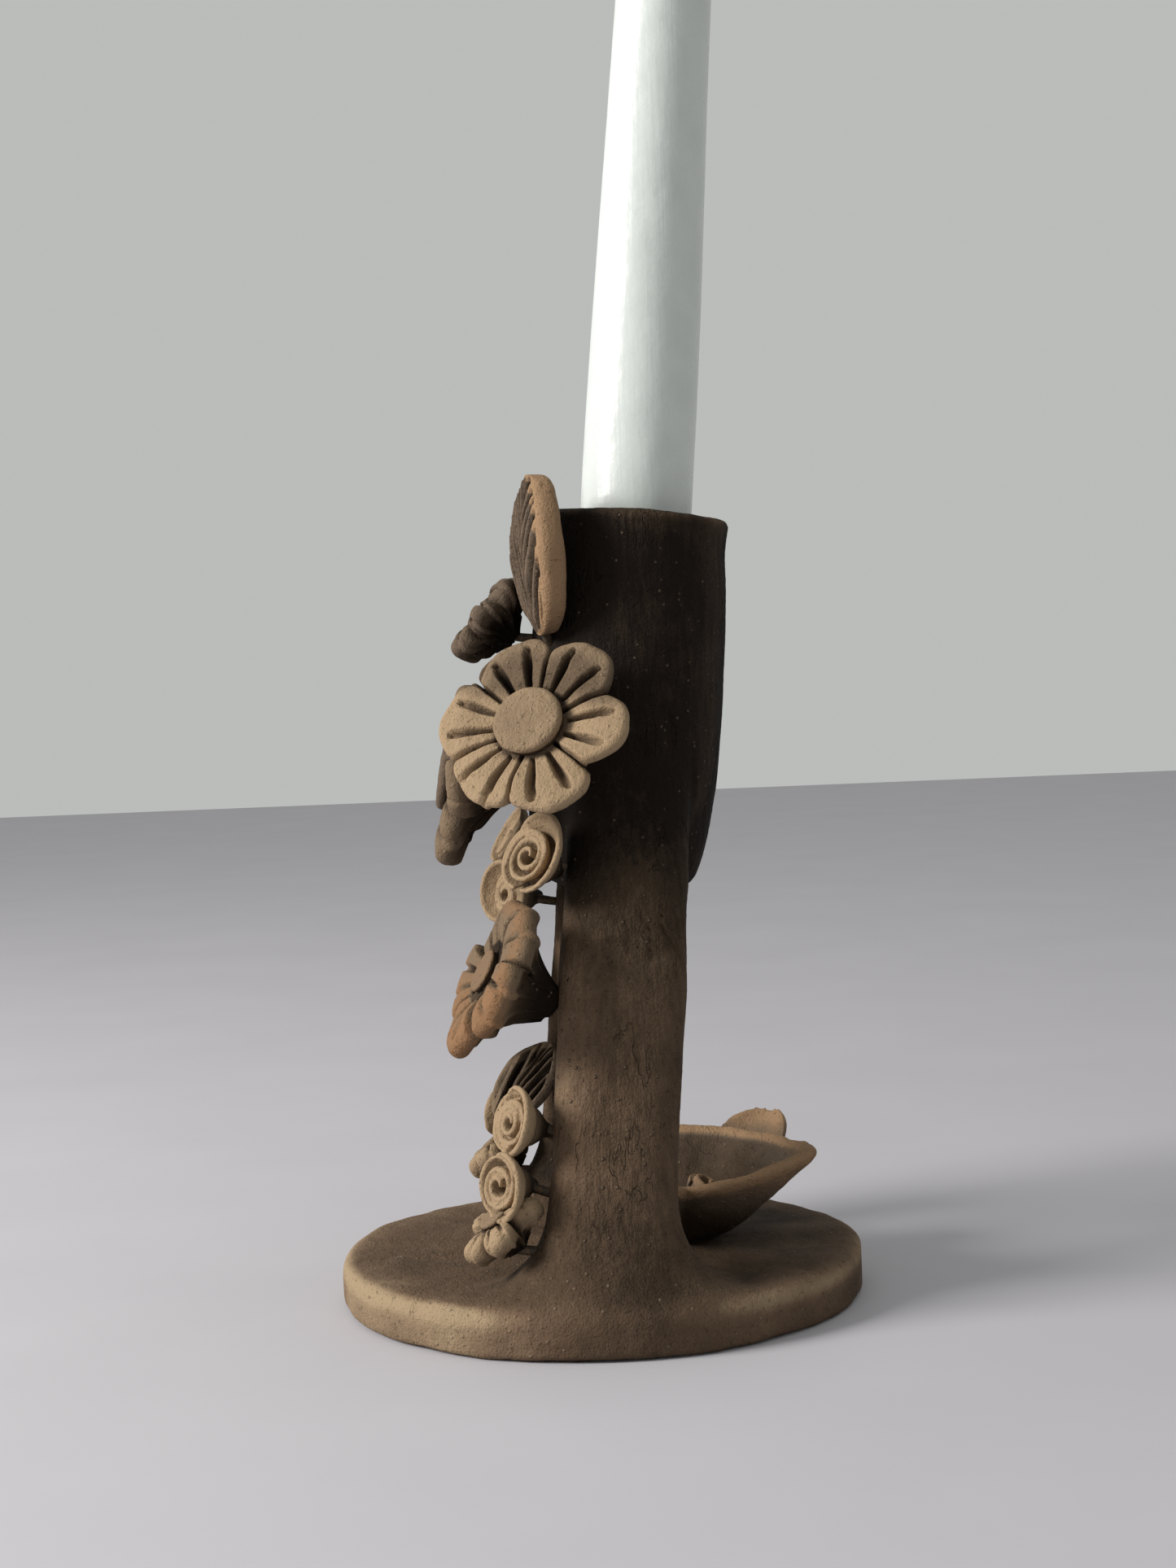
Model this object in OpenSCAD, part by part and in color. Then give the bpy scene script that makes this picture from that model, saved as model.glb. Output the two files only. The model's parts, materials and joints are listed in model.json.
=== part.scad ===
// Tree-of-life candle holder in smoke-fired clay: a round base, two legs that lean together
// into a tall candle socket, and flowers, leaves and roses on short wires down its front.
// +Z is up, the origin is the middle of the base's underside, -Y is the flowered front.

/* [Base] */
// Diameter of the round base
base_d = 104; // [96:1:130]
// Thickness of the base
base_t = 9.6; // [7:0.2:14]
// Radius of the base's worn edges
base_round = 3.2; // [1:0.1:3.4]

/* [Tree] */
// Height from the base's top to the rim of the candle socket, along the tree
tree_h = 146; // [140:1:180]
// How far the tree leans backwards, in degrees
lean = 5.2; // [0:0.1:7]
// Width of a leg from front to back
leg_w = 24; // [19:0.5:29]
// Thickness of a leg from side to side
leg_t = 14; // [11:0.5:16]
// Distance from the base's edge in to the middle of a leg's foot
foot_inset = 15; // [13:0.5:18]
// Radius of the smeared fillet round a leg's foot
foot_flare = 11; // [6:0.5:12]
// Distance below the rim at which the legs have run out on the socket
leg_merge = 48; // [40:1:56]

/* [Candle socket] */
// Outer diameter of the socket
socket_d = 37.6; // [34:0.2:46]
// Length of the socket along the tree
socket_l = 74; // [68:1:82]
// Diameter of the socket's lower end, between the legs
socket_neck_d = 26; // [22:0.5:29]
// Length of the shoulder between the lower end and the full diameter
shoulder_l = 28; // [20:1:34]
// How far the socket stands forward of the middle of the legs
socket_forward = 0.7; // [0:0.1:1.2]
// Depth of the hole for the candle
bore_depth = 28; // [20:1:34]
// Clearance all round between the candle and its hole
bore_gap = 0.4; // [0.3:0.05:1]

/* [Candle] */
// Diameter of the candle where it leaves the socket
candle_d = 22.1; // [20:0.1:26.6]
// Diameter of the candle's tip
candle_tip_d = 14.5; // [12:0.1:17]
// Length of the candle
candle_l = 250; // [180:1:300]
// Diameter of the wick
wick_d = 1.8; // [1:0.1:2.4]
// Length of wick above the candle
wick_out = 9; // [5:0.5:14]

/* [Flowers] */
// Diameter of the two side daisies
daisy_d = 38.4; // [32:0.2:39]
// Diameter of the large middle flower
centre_d = 40; // [34:0.2:41]
// Diameter of the small top flower
crown_d = 21; // [17:0.2:23]
// Diameter of the two bellflowers
bell_d = 32.4; // [27:0.2:33]
// Diameter of the two small flowers by the feet
foot_flower_d = 16; // [13:0.2:17]
// Thickness of the petals
petal_t = 3.4; // [2.4:0.1:3.8]
// Diameter of the roses
rose_d = 13.4; // [11:0.1:14]
// Depth of the roses
rose_depth = 7; // [5:0.2:8]
// Thickness of the strip that the roses are rolled from
rose_strip = 1.2; // [0.9:0.1:1.4]
// Diameter of the wires that carry the flowers and leaves
wire_d = 1.8; // [1.4:0.1:2.2]

/* [Leaves] */
// Length of the two top leaves
leaf_l = 31; // [26:0.5:33]
// Width of the two top leaves
leaf_w = 21; // [17:0.5:22]
// Thickness of the leaves
leaf_t = 5; // [3.6:0.1:5.4]

/* [Lily] */
// Distance from the lily's middle to the tips of its two long petals
lily_reach = 30; // [26:0.5:31]
// Height of the lily's tips above the base
lily_h = 22; // [18:0.5:25]
// Thickness of the lily's petals
lily_t = 2.6; // [2:0.1:3.2]
// Distance of the lily behind the middle of the base
lily_back = 16; // [15:0.5:18]

/* [Hidden] */
$fn = 64;
join = 0.4;                                  // how far shapes of one piece run into each other
base_r = base_d / 2;
foot_x = base_r - foot_inset;
leg_top = tree_h - leg_merge;
leg_top_x = socket_d / 2 - leg_t / 2 - 1;
leg_round = 0.82;                            // below 1 squares off a leg's section a little
foot_outer = min(foot_flare, foot_inset - leg_t / 2 - base_round);
socket_r = socket_d / 2;
socket_low = tree_h - socket_l;
neck_r = socket_neck_d / 2;
neck_round = 4;
shoulder_steps = 7;
lip_round = 1.6;
bore_r = candle_d / 2 + bore_gap;
candle_seat = tree_h - bore_depth;
candle_heel = 0.5;                           // how much the candle narrows at its foot
heel_l = bore_depth + 2;
wick_r = wick_d / 2;
bury = 3;                                    // how deep a wire's end sits in the clay
ring_steps = 28;

// Leg rings, as heights above the base: close together in the foot's fillet
LEG_RINGS = concat([0, 0.8, 2, 3.8, 6.2, 9], [for (i = [1:15]) 9 + (leg_top - 9) * i / 15]);

// Pieces stand by their leg, or by the socket where their row ends in "socket". By a leg: share of the
// tree's height, across from the leg's middle line, out from its front. By the socket: down from its lip,
// across from its middle, out from its front.
// Slotted flowers: name, side, height or drop, across, out, turn outwards, rise, diameter, petals,
// depth of the back
FLOWERS = [
    ["daisy_right", 1, 0.713, 18.5, 8, 62, 27, daisy_d, 6, 5],
    ["daisy_left", -1, 0.713, 18.5, 8, 62, 27, daisy_d, 6, 5],
    ["centre_flower", 1, 53.4, 0, 15, 0, 5, centre_d, 6, 11, "socket"],
    ["crown_flower", -1, 21.2, 1.5, 10.5, 8, 35, crown_d, 6, 5, "socket"],
    ["bellflower_right", 1, 0.391, 3, 14, 12, 23, bell_d, 5, 11.5],
    ["bellflower_left", -1, 0.33, 3, 14, 12, 23, bell_d, 5, 11.5],
    ["foot_flower_right", 1, 0.07, 0, 9.5, 12, 48, foot_flower_d, 5, 3],
    ["foot_flower_left", -1, 0.07, 0, 9.5, 12, 48, foot_flower_d, 5, 3],
];
// Roses: name, side, height, across, out, turn outwards, rise, size
ROSES = [
    ["rose_right_top", 1, 0.541, 6, 7.5, 52, 20, 1],
    ["rose_right_low", 1, 0.205, 2, 8.5, 42, 12, 0.87],
    ["rose_right_foot", 1, 0.127, 2.5, 10, 50, 4, 0.84],
    ["rose_left_top", -1, 0.544, 4, 11, 10, 30, 0.84],
    ["rose_left_middle", -1, 0.464, -4, 11, -20, 5, 0.84],
    ["rose_left_foot", -1, 0.132, 3, 9.5, 50, 4, 0.84],
];
// Leaves: name, side, height or drop, across, out, turn outwards, rise, spin, size
LEAVES = [
    ["leaf_right", 1, 9.9, 14.4, 2.3, 17, -3, 0, 1, "socket"],
    ["leaf_left", -1, 9.9, 16.3, 1.7, 17, -3, 0, 1, "socket"],
    ["low_leaf_left", -1, 0.185, -13, 2.5, -60, 30, 20, 0.62],
];
// Lily petals: turn from the back, length as a share of the long petals
LILY_PETALS = [[36, 1], [-36, 1], [108, 0.8], [-108, 0.8], [180, 0.74]];

// Middle line of a leg at a height above the base: upright at the foot, leaning in higher up
function leg_x(h) = foot_x - (foot_x - leg_top_x) * pow(min(max(h, 0), leg_top) / leg_top, 1.5);
// How far a fillet of radius r stands out at a height above the surface it meets
function fillet(h, r) = h >= r ? 0 : r - sqrt(r * r - pow(r - h, 2));
function superellipse(a, e) = [sign(cos(a)) * pow(abs(cos(a)), e), sign(sin(a)) * pow(abs(sin(a)), e)];
// Place of a piece's face in the tree's own upright frame, on the right-hand side
function spot(p) = p[len(p) - 1] == "socket"
    ? [p[3], -socket_r - socket_forward - p[4], tree_h - p[2]]
    : [leg_x(p[2] * tree_h) + p[3], -leg_w / 2 - p[4], p[2] * tree_h];
// The direction in which a piece faces: forwards, turned outwards and raised
function facing(turn, rise) = [sin(turn) * cos(rise), -cos(turn) * cos(rise), sin(rise)];
// The direction from a leaf's middle to its stalk
function stalk_way(turn, rise, spin) =
    sin(spin) * [cos(turn), sin(turn), 0] - cos(spin) * facing(turn, rise + 90);
// Where a wire's inner end sits: in the leg beside it if there is one, or in the socket's wall
function anchor(x, h) = x > leg_t && h < socket_low + shoulder_l / 2
    ? [leg_x(h), bury + 1 - leg_w / 2, h]
    : let (wall = socket_r - bury, ax = min(0.55 * x, 0.8 * wall))
        [ax, -socket_forward - sqrt(wall * wall - ax * ax), h];

module on_tree() {
    translate([0, 0, base_t]) rotate([-lean, 0, 0]) children();
}

// The socket's and the candle's own frame
module on_socket() {
    on_tree() translate([0, -socket_forward, 0]) children();
}

// Mirrors a right-hand piece to the left when side is -1
module on_side(side) {
    if (side < 0) mirror([1, 0, 0]) children();
    else children();
}

// Puts a piece whose face looks along +Z at a spot, facing outwards
module face_out(p, turn, rise, spin = 0) {
    translate(p) rotate([0, 0, turn]) rotate([90 - rise, 0, 0]) rotate([0, 0, spin]) children();
}

// A round wire from p to q
module wire(p, q, d) {
    v = q - p;
    translate(p) rotate([0, acos(v[2] / norm(v)), atan2(v[1], v[0])]) cylinder(h = norm(v), d = d);
}

module base_disc() {
    color([0.36, 0.28, 0.21]) rotate_extrude() polygon(concat(
        [[0, 0], [base_r - base_round, 0]],
        [for (a = [-75:15:75]) [base_r - base_round + base_round * cos(a),
            a < 0 ? base_round * (1 + sin(a)) : base_t - base_round * (1 - sin(a))]],
        [[base_r - base_round, base_t], [0, base_t]]));
}

// Outside of the socket, without its hole
module socket_outside() {
    rotate_extrude() polygon(concat(
        [[0, socket_low], [neck_r - neck_round, socket_low]],
        [for (a = [-60:30:0]) [neck_r - neck_round * (1 - cos(a)), socket_low + neck_round * (1 + sin(a))]],
        [for (i = [1:shoulder_steps]) let (u = i / shoulder_steps)
            [socket_r - (socket_r - neck_r) * pow(1 - u, 2.4),
             socket_low + neck_round + (shoulder_l - neck_round) * u]],
        [for (a = [0:30:90]) [socket_r - lip_round * (1 - cos(a)), tree_h - lip_round * (1 - sin(a))]],
        [[0, tree_h]]));
}

module candle_socket() {
    color([0.2, 0.15, 0.12]) on_socket() difference() {
        socket_outside();
        translate([0, 0, candle_seat]) cylinder(h = bore_depth + 1, r = bore_r);
    }
}

// One leg: level rings that start flat on the base and follow the leaning, narrowing arch
module leg() {
    points = [for (h = LEG_RINGS) for (j = [0:ring_steps - 1])
        let (s = superellipse(360 * j / ring_steps, leg_round),
             out_x = leg_t / 2 + fillet(h + 0.5, s[0] > 0 ? foot_outer : foot_flare),
             out_y = leg_w / 2 + fillet(h + 0.5, foot_flare))
        [leg_x(h) + s[0] * out_x, h * tan(lean) + s[1] * out_y, base_t + h * cos(lean)]];
    rings = len(LEG_RINGS);
    sides = [for (i = [0:rings - 2]) for (j = [0:ring_steps - 1])
        let (a = i * ring_steps + j, b = i * ring_steps + (j + 1) % ring_steps)
        [a, a + ring_steps, b + ring_steps, b]];
    ends = [[for (j = [0:ring_steps - 1]) j],
            [for (j = [0:ring_steps - 1]) rings * ring_steps - 1 - j]];
    difference() {
        polyhedron(points, concat(sides, ends));
        on_socket() socket_outside();
    }
}

module candle() {
    color([0.9, 0.92, 0.91]) on_socket() translate([0, 0, candle_seat]) difference() {
        union() {
            cylinder(h = heel_l, d1 = candle_d - 2 * candle_heel, d2 = candle_d);
            translate([0, 0, heel_l]) cylinder(h = candle_l - heel_l, d1 = candle_d, d2 = candle_tip_d);
        }
        translate([0, 0, -1]) cylinder(h = candle_l + 2, r = wick_r, $fn = 24);
    }
}

module wick() {
    color([0.93, 0.9, 0.82]) on_socket() translate([0, 0, candle_seat])
        cylinder(h = candle_l + wick_out, r = wick_r, $fn = 24);
}

// Radius of a flower's edge at an angle: round lobes with a notch between each two petals
function lobe(a, r, n) = r * (0.64 + 0.36 * pow(abs(cos(n * a / 2)), 0.55));

// Petals pressed from one slab of clay, with two slots in each and a cone behind
module petals(d, n, back) {
    r = d / 2;
    button_r = 0.18 * d;
    slot_w = 0.045 * d;
    difference() {
        union() {
            translate([0, 0, -petal_t]) linear_extrude(petal_t)
                polygon([for (i = [0:12 * n - 1]) let (a = 30 * i / n) lobe(a, r, n) * [cos(a), sin(a)]]);
            translate([0, 0, -petal_t - back]) cylinder(h = back + join, r1 = wire_d, r2 = 0.55 * r);
        }
        for (i = [0:n - 1]) for (s = [-1, 1])
            rotate([0, 0, 360 * i / n + s * 42 / n])
                translate([button_r * 1.1, -slot_w / 2, -petal_t / 2]) cube([0.82 * r - button_r, slot_w, petal_t]);
    }
}

module button(d) {
    r = 0.18 * d;
    t = 0.065 * d;
    rotate_extrude($fn = 48) polygon([[0, 0], [r, 0], [r, t * 0.5], [r * 0.93, t * 0.85], [r * 0.8, t], [0, t]]);
}

// A rose rolled from one strip: a spiral wall on a small cup
module bloom(size) {
    r = rose_d / 2 * size;
    cup_h = 0.4 * rose_depth;
    turns = 2.4;
    steps = 40;
    r0 = rose_strip * 1.1;
    pitch = (r - r0 - rose_strip / 2) / turns;
    function spiral(side) = [for (i = [0:steps]) let (t = turns * i / steps)
        (r0 + pitch * t + side * rose_strip / 2) * [cos(360 * t), sin(360 * t)]];
    inner = spiral(-1);
    outer = spiral(1);
    translate([0, 0, cup_h - rose_depth - join]) linear_extrude(rose_depth - cup_h + join)
        polygon(concat(outer, [for (i = [steps:-1:0]) inner[i]]));
    translate([0, 0, -rose_depth]) cylinder(h = cup_h, r1 = 0.3 * r, r2 = 0.92 * r);
}

// A pointed leaf with a middle vein and slanted grooves, its base at the lower end
module blade(size) {
    l = leaf_l * size;
    w = leaf_w * size;
    groove = 0.9;
    vein_count = 5;
    edge = [for (i = [0:12]) let (u = i / 12) [w / 2 * pow(sin(180 * u), 0.7), l * (u - 0.5)]];
    difference() {
        translate([0, 0, -leaf_t]) linear_extrude(leaf_t)
            polygon(concat(edge, [for (i = [11:-1:1]) [-edge[i][0], edge[i][1]]]));
        translate([-groove / 2, -0.42 * l, -groove]) cube([groove, 0.84 * l, leaf_t]);
        for (side = [-1, 1]) for (i = [0:vein_count - 1])
            translate([0, l * (0.14 * i - 0.4), -groove]) rotate([0, 0, 90 - side * 48])
                translate([1.2, -groove / 2, 0]) cube([0.34 * w * sin(30 + 28 * i) + 1.5, groove, leaf_t]);
    }
}

// One lily petal, standing on the lily's middle and leaning out at the slope of the cup
module lily_petal(share) {
    reach = lily_reach * share;
    slope = atan2(lily_h, lily_reach - 3);
    l = reach / cos(slope);
    w = 0.9 * lily_reach;
    edge = [for (i = [0:10]) let (u = i / 10) [l * u, (3.2 + w / 2 * pow(u, 0.6)) * pow(1 - pow(u, 2.6), 0.6)]];
    rotate([0, -slope, 0]) linear_extrude(lily_t)
        polygon(concat(edge, [for (i = [9:-1:0]) [edge[i][0], -edge[i][1]]]));
}

module lily_cup() {
    color([0.62, 0.47, 0.35]) translate([0, lily_back, base_t]) difference() {
        union() {
            for (p = LILY_PETALS) rotate([0, 0, 90 + p[0]]) lily_petal(p[1]);
            cylinder(h = lily_t + 2, r1 = 5, r2 = 6.4);
        }
        translate([0, 0, -lily_h]) cube([2 * base_d, 2 * base_d, 2 * lily_h], center = true);
    }
}

// The rolled bud that stands in the lily's cup
module lily_bud() {
    color([0.45, 0.33, 0.25]) translate([0, lily_back, base_t + lily_t + 2])
        rotate_extrude($fn = 32) polygon([[0, 0], [2.6, 0], [3.2, 3], [2.8, 6], [1.6, 8], [0, 8.6]]);
}

module slotted_flower(f, part) {
    n = facing(f[5], f[6]);
    p = spot(f);
    hub = p - (petal_t + f[9] - bury / 2) * n;
    on_tree() on_side(f[1]) {
        if (part == "_petals") color([0.66, 0.54, 0.42])
            face_out(p, f[5], f[6], 90 - 180 / f[8]) petals(f[7], f[8], f[9]);
        if (part == "_button") color([0.48, 0.4, 0.34]) face_out(p, f[5], f[6]) button(f[7]);
        if (part == "_wire") color([0.25, 0.2, 0.16]) wire(hub, anchor(p[0], p[2] - f[9] / 2 - 2), wire_d);
    }
}

module rose(r, part) {
    n = facing(r[5], r[6]);
    p = spot(r);
    on_tree() on_side(r[1]) {
        if (part == "_bloom") color([0.68, 0.57, 0.45]) face_out(p, r[5], r[6]) bloom(r[7]);
        if (part == "_wire") color([0.25, 0.2, 0.16])
            wire(p - (rose_depth - 1) * n, anchor(p[0], p[2] - 2), wire_d);
    }
}

module leaf(l, part) {
    size = l[8];
    p = spot(l);
    down = stalk_way(l[5], l[6], l[7]);
    on_tree() on_side(l[1]) {
        if (part == "_blade") color([0.5, 0.4, 0.31]) face_out(p, l[5], l[6], l[7]) blade(size);
        if (part == "_wire") color([0.25, 0.2, 0.16])
            wire(p + (leaf_l * size / 2 - bury) * down - leaf_t / 2 * facing(l[5], l[6]),
                 anchor(p[0], p[2] - leaf_l * size / 2 - 4), wire_d);
    }
}

module right_leg() { color([0.25, 0.18, 0.14]) leg(); }
module left_leg() { color([0.25, 0.18, 0.14]) mirror([1, 0, 0]) leg(); }

base_disc();
right_leg();
left_leg();
candle_socket();
candle();
wick();
lily_cup();
lily_bud();
for (f = FLOWERS) for (part = ["_petals", "_button", "_wire"])
    slotted_flower(f, part);
for (r = ROSES) for (part = ["_bloom", "_wire"])
    rose(r, part);
for (l = LEAVES) for (part = ["_blade", "_wire"])
    leaf(l, part);
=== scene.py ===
"""Looks of a smoke-fired clay tree of life that holds a taper candle.

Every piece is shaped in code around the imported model, in metres, in the model's own frame:
+Z is up, the origin is the middle of the base's underside, and -Y is the flowered front.
"""

import json
import math

import bmesh
import bpy
import numpy as np
from bpy.props import FloatProperty, FloatVectorProperty, PointerProperty
from mathutils import Matrix, Vector, noise


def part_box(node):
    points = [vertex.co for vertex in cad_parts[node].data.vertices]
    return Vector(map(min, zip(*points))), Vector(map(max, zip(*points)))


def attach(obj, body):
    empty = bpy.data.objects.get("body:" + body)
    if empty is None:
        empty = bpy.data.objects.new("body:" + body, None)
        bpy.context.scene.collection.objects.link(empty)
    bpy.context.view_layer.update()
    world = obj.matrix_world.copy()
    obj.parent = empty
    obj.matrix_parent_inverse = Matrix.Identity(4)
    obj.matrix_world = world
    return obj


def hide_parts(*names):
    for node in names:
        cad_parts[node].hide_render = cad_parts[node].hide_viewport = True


bl_info = {
    "name": "Clay Tree of Life",
    "version": (1, 0, 0),
    "blender": (4, 5, 0),
    "location": "View3D > Sidebar > Clay Tree",
    "description": "Shapes and finishes the pieces of a clay tree-of-life candle holder",
    "category": "Add Mesh",
}

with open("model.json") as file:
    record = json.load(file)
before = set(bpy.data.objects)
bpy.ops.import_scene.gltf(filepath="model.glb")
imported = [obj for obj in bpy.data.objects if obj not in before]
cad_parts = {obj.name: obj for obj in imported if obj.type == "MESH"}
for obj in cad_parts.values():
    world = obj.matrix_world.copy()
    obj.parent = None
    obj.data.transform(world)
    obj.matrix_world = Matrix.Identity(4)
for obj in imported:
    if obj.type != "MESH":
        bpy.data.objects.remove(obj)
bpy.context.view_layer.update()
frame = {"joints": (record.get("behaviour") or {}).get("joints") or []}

MM = 0.001
HOLDER = "holder"
CANDLE = "candle"

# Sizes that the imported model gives
BASE_LOW, BASE_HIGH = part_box("base_disc")
BASE_R = (BASE_HIGH.x - BASE_LOW.x) / 2
BASE_T = BASE_HIGH.z - BASE_LOW.z
CANDLE_AXIS = Vector(frame["joints"][0]["axis"]).normalized()
LEAN = math.atan2(CANDLE_AXIS.y, CANDLE_AXIS.z)

# The tree, in its own frame: heights are measured along it from the base's top
TREE_H = 146 * MM
LEG_W = 24 * MM
LEG_T = 14 * MM
FOOT_X = BASE_R - 15 * MM
FOOT_FLARE = 11 * MM
FLARE_RISE = 1.6 * FOOT_FLARE
FLARE_OUT = 1.5 * FOOT_FLARE
LEG_TOP = TREE_H - 48 * MM
LEG_TOP_X = 10.8 * MM
LEG_ROUND = 0.82
ARCH_TOP = 71.5 * MM
SOCKET_R = 18.8 * MM
SOCKET_FORWARD = 0.7 * MM
SOCKET_LOW = 72 * MM
SHOULDER_L = 28 * MM
# Rise from the socket's foot and radius of its outside, in millimetres
SOCKET_OUTSIDE = ((0, 12.2), (1.5, 14.6), (5, 16.4), (9, 17.4), (16, 18.3), (24, 18.9), (36, 19.3),
                  (48, 19.1), (60, 18.6), (68, 18.35), (72.2, 18.7))
LIP_ROUND = 1.7 * MM
BORE_R = 11.45 * MM
CANDLE_SEAT = TREE_H - 28 * MM
# How far the candle hole's wall and floor, and the base's edge, may stand off their plain shapes
CLEARANCE = 0.1 * MM
CANDLE_R = 11.05 * MM
CANDLE_TIP_R = 7.25 * MM
CANDLE_L = 250 * MM
CANDLE_HEEL = 0.5 * MM
CANDLE_DOME = 6 * MM
CANDLE_OUTSIDE = ((0, CANDLE_R - CANDLE_HEEL), (0.03, CANDLE_R), (0.12, 9.55 * MM), (CANDLE_L, CANDLE_TIP_R))
WICK_R = 0.9 * MM
WICK_OUT = 9 * MM

# The flowers, leaves and lily
PETAL_T = 3.4 * MM
DAISY_D = 38.4 * MM
CENTRE_D = 40 * MM
CROWN_D = 21 * MM
BELL_D = 32.4 * MM
FOOT_FLOWER_D = 16 * MM
ROSE_D = 13.4 * MM
ROSE_DEPTH = 7 * MM
ROSE_GRAIN = 0.27 * MM
LEAF_L = 31 * MM
LEAF_W = 21 * MM
LEAF_T = 5 * MM
WIRE_R = 0.9 * MM
BURY = 3 * MM
# Pieces further out than this, in millimetres, hang in front of the arch and not of a leg
BEFORE_ARCH = 15
LILY_BACK = 16 * MM

# Slotted flowers: name, side, share of the tree's height, across and out in millimetres, turn outwards
# and rise in degrees, diameter, petals, depth of the back in millimetres, kind
FLOWERS = (
    ("daisy_right", 1, 0.713, 18.5, 8, 62, 27, DAISY_D, 6, 5, "daisy"),
    ("daisy_left", -1, 0.713, 18.5, 8, 62, 27, DAISY_D, 6, 5, "daisy"),
    ("centre_flower", 1, 0.634, 0, 22.5, 0, 5, CENTRE_D, 6, 11, "centre"),
    ("crown_flower", -1, 0.855, 1.5, 18, 8, 35, CROWN_D, 6, 5, "crown"),
    ("bellflower_right", 1, 0.391, 3, 14, 12, 23, BELL_D, 5, 11.5, "bell"),
    ("bellflower_left", -1, 0.33, 3, 14, 12, 23, BELL_D, 5, 11.5, "bell"),
    ("foot_flower_right", 1, 0.07, 0, 9.5, 12, 48, FOOT_FLOWER_D, 5, 3, "foot"),
    ("foot_flower_left", -1, 0.07, 0, 9.5, 12, 48, FOOT_FLOWER_D, 5, 3, "foot"),
)
# Roses: name, side, share, across, out, turn outwards, rise, size
ROSES = (
    ("rose_right_top", 1, 0.541, 6, 7.5, 52, 20, 1),
    ("rose_right_low", 1, 0.205, 2, 8.5, 42, 12, 0.87),
    ("rose_right_foot", 1, 0.127, 2.5, 10, 50, 4, 0.84),
    ("rose_left_top", -1, 0.544, 4, 11, 10, 30, 0.84),
    ("rose_left_middle", -1, 0.464, -4, 11, -20, 5, 0.84),
    ("rose_left_foot", -1, 0.132, 3, 9.5, 50, 4, 0.84),
)
# Leaves: name, side, share, across, out, turn outwards, rise, spin, size, slot
LEAVES = (
    ("leaf_right", 1, 0.932, 3.6, 9.8, 17, -3, 0, 1, "tan_clay"),
    ("leaf_left", -1, 0.932, 5.5, 9.2, 17, -3, 0, 1, "tan_clay"),
    ("low_leaf_left", -1, 0.185, -13, 2.5, -60, 30, 20, 0.62, "grey_clay"),
)
# The lily's rim: angle round the cup, distance out and height in millimetres, with a point at each petal
LILY_RIM = ((0, 15, 14), (37, 22, 16.6), (60, 29.5, 20.6), (84, 23, 20), (122, 19, 19.6), (169, 18.5, 20),
            (198, 22, 19), (234, 14, 14), (270, 21, 17), (306, 14, 14), (342, 23.5, 18.5))
LILY_WALL = 2 * MM
LILY_GRAIN = 0.5 * MM

# Where pieces leave their plain shapes: scales, shifts, and turns in degrees
FOOT_FLOWER_SCALE = 1.12
FOOT_FLOWER_UP = 2 * MM
ROSE_TURNED_BACK = 12
LEAF_TIPPED = 5
LOW_LEAF_SHIFT = (0, -2.4 * MM, 2 * MM)
BUD_LEAN = -34
BUD_PLACE = (2 * MM, LILY_BACK + 6 * MM, BASE_T + 12 * MM)


# Places

def leg_x(h):
    """Middle line of a leg at a height: upright at the foot, leaning in higher up."""
    share = np.clip(h, 0, LEG_TOP) / LEG_TOP
    return FOOT_X - (FOOT_X - LEG_TOP_X) * share ** 1.5


def facing(turn, rise):
    """The way a piece looks in the tree's frame, from its turn outwards and its rise in degrees."""
    turn, rise = math.radians(turn), math.radians(rise)
    return Vector((math.sin(turn) * math.cos(rise), -math.cos(turn) * math.cos(rise), math.sin(rise)))


def spot(share, across, out):
    """Middle of a flower's face in the tree's frame, on the right-hand side."""
    h = share * TREE_H
    middle = 0 if out > BEFORE_ARCH else float(leg_x(h))
    return Vector((middle + across * MM, -LEG_W / 2 - out * MM, h))


def anchor(x, h):
    """Where a wire's inner end sits: in the leg beside it, or in the socket's wall."""
    if x > LEG_T and h < SOCKET_LOW + SHOULDER_L / 2:
        return Vector((float(leg_x(h)), BURY + MM - LEG_W / 2, h))
    wall = SOCKET_R - BURY
    across = min(0.55 * x, 0.8 * wall)
    return Vector((across, -SOCKET_FORWARD - math.sqrt(wall ** 2 - across ** 2), h))


def on_tree(side=1):
    """From the tree's upright frame to the model's frame, mirrored for the left-hand side."""
    mirror = Matrix.Diagonal((side, 1, 1, 1))
    return Matrix.Translation((0, 0, BASE_T)) @ Matrix.Rotation(-LEAN, 4, "X") @ mirror


def on_socket():
    """From the socket's upright frame to the model's frame."""
    return on_tree() @ Matrix.Translation((0, -SOCKET_FORWARD, 0))


def face_out(side, place, turn, rise, spin=0):
    """From a piece whose face looks along +Z, with +Y up, to the model's frame."""
    aimed = Matrix.Rotation(math.radians(turn), 4, "Z") @ Matrix.Rotation(math.radians(90 - rise), 4, "X")
    return on_tree(side) @ Matrix.Translation(place) @ aimed @ Matrix.Rotation(math.radians(spin), 4, "Z")


def moved(points, matrix):
    """Points put through a matrix."""
    m = np.array(matrix)
    return points @ m[:3, :3].T + m[:3, 3]


# Numbers over many points

def ease(x, low, high):
    """0 below low, 1 above high, and a smooth rise between them."""
    t = np.clip((x - low) / (high - low), 0, 1)
    return t * t * (3 - 2 * t)


def peak(x, middle, width):
    """1 at the middle, falling smoothly to 0 on both sides."""
    return np.exp(-((x - middle) / width) ** 2)


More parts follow.
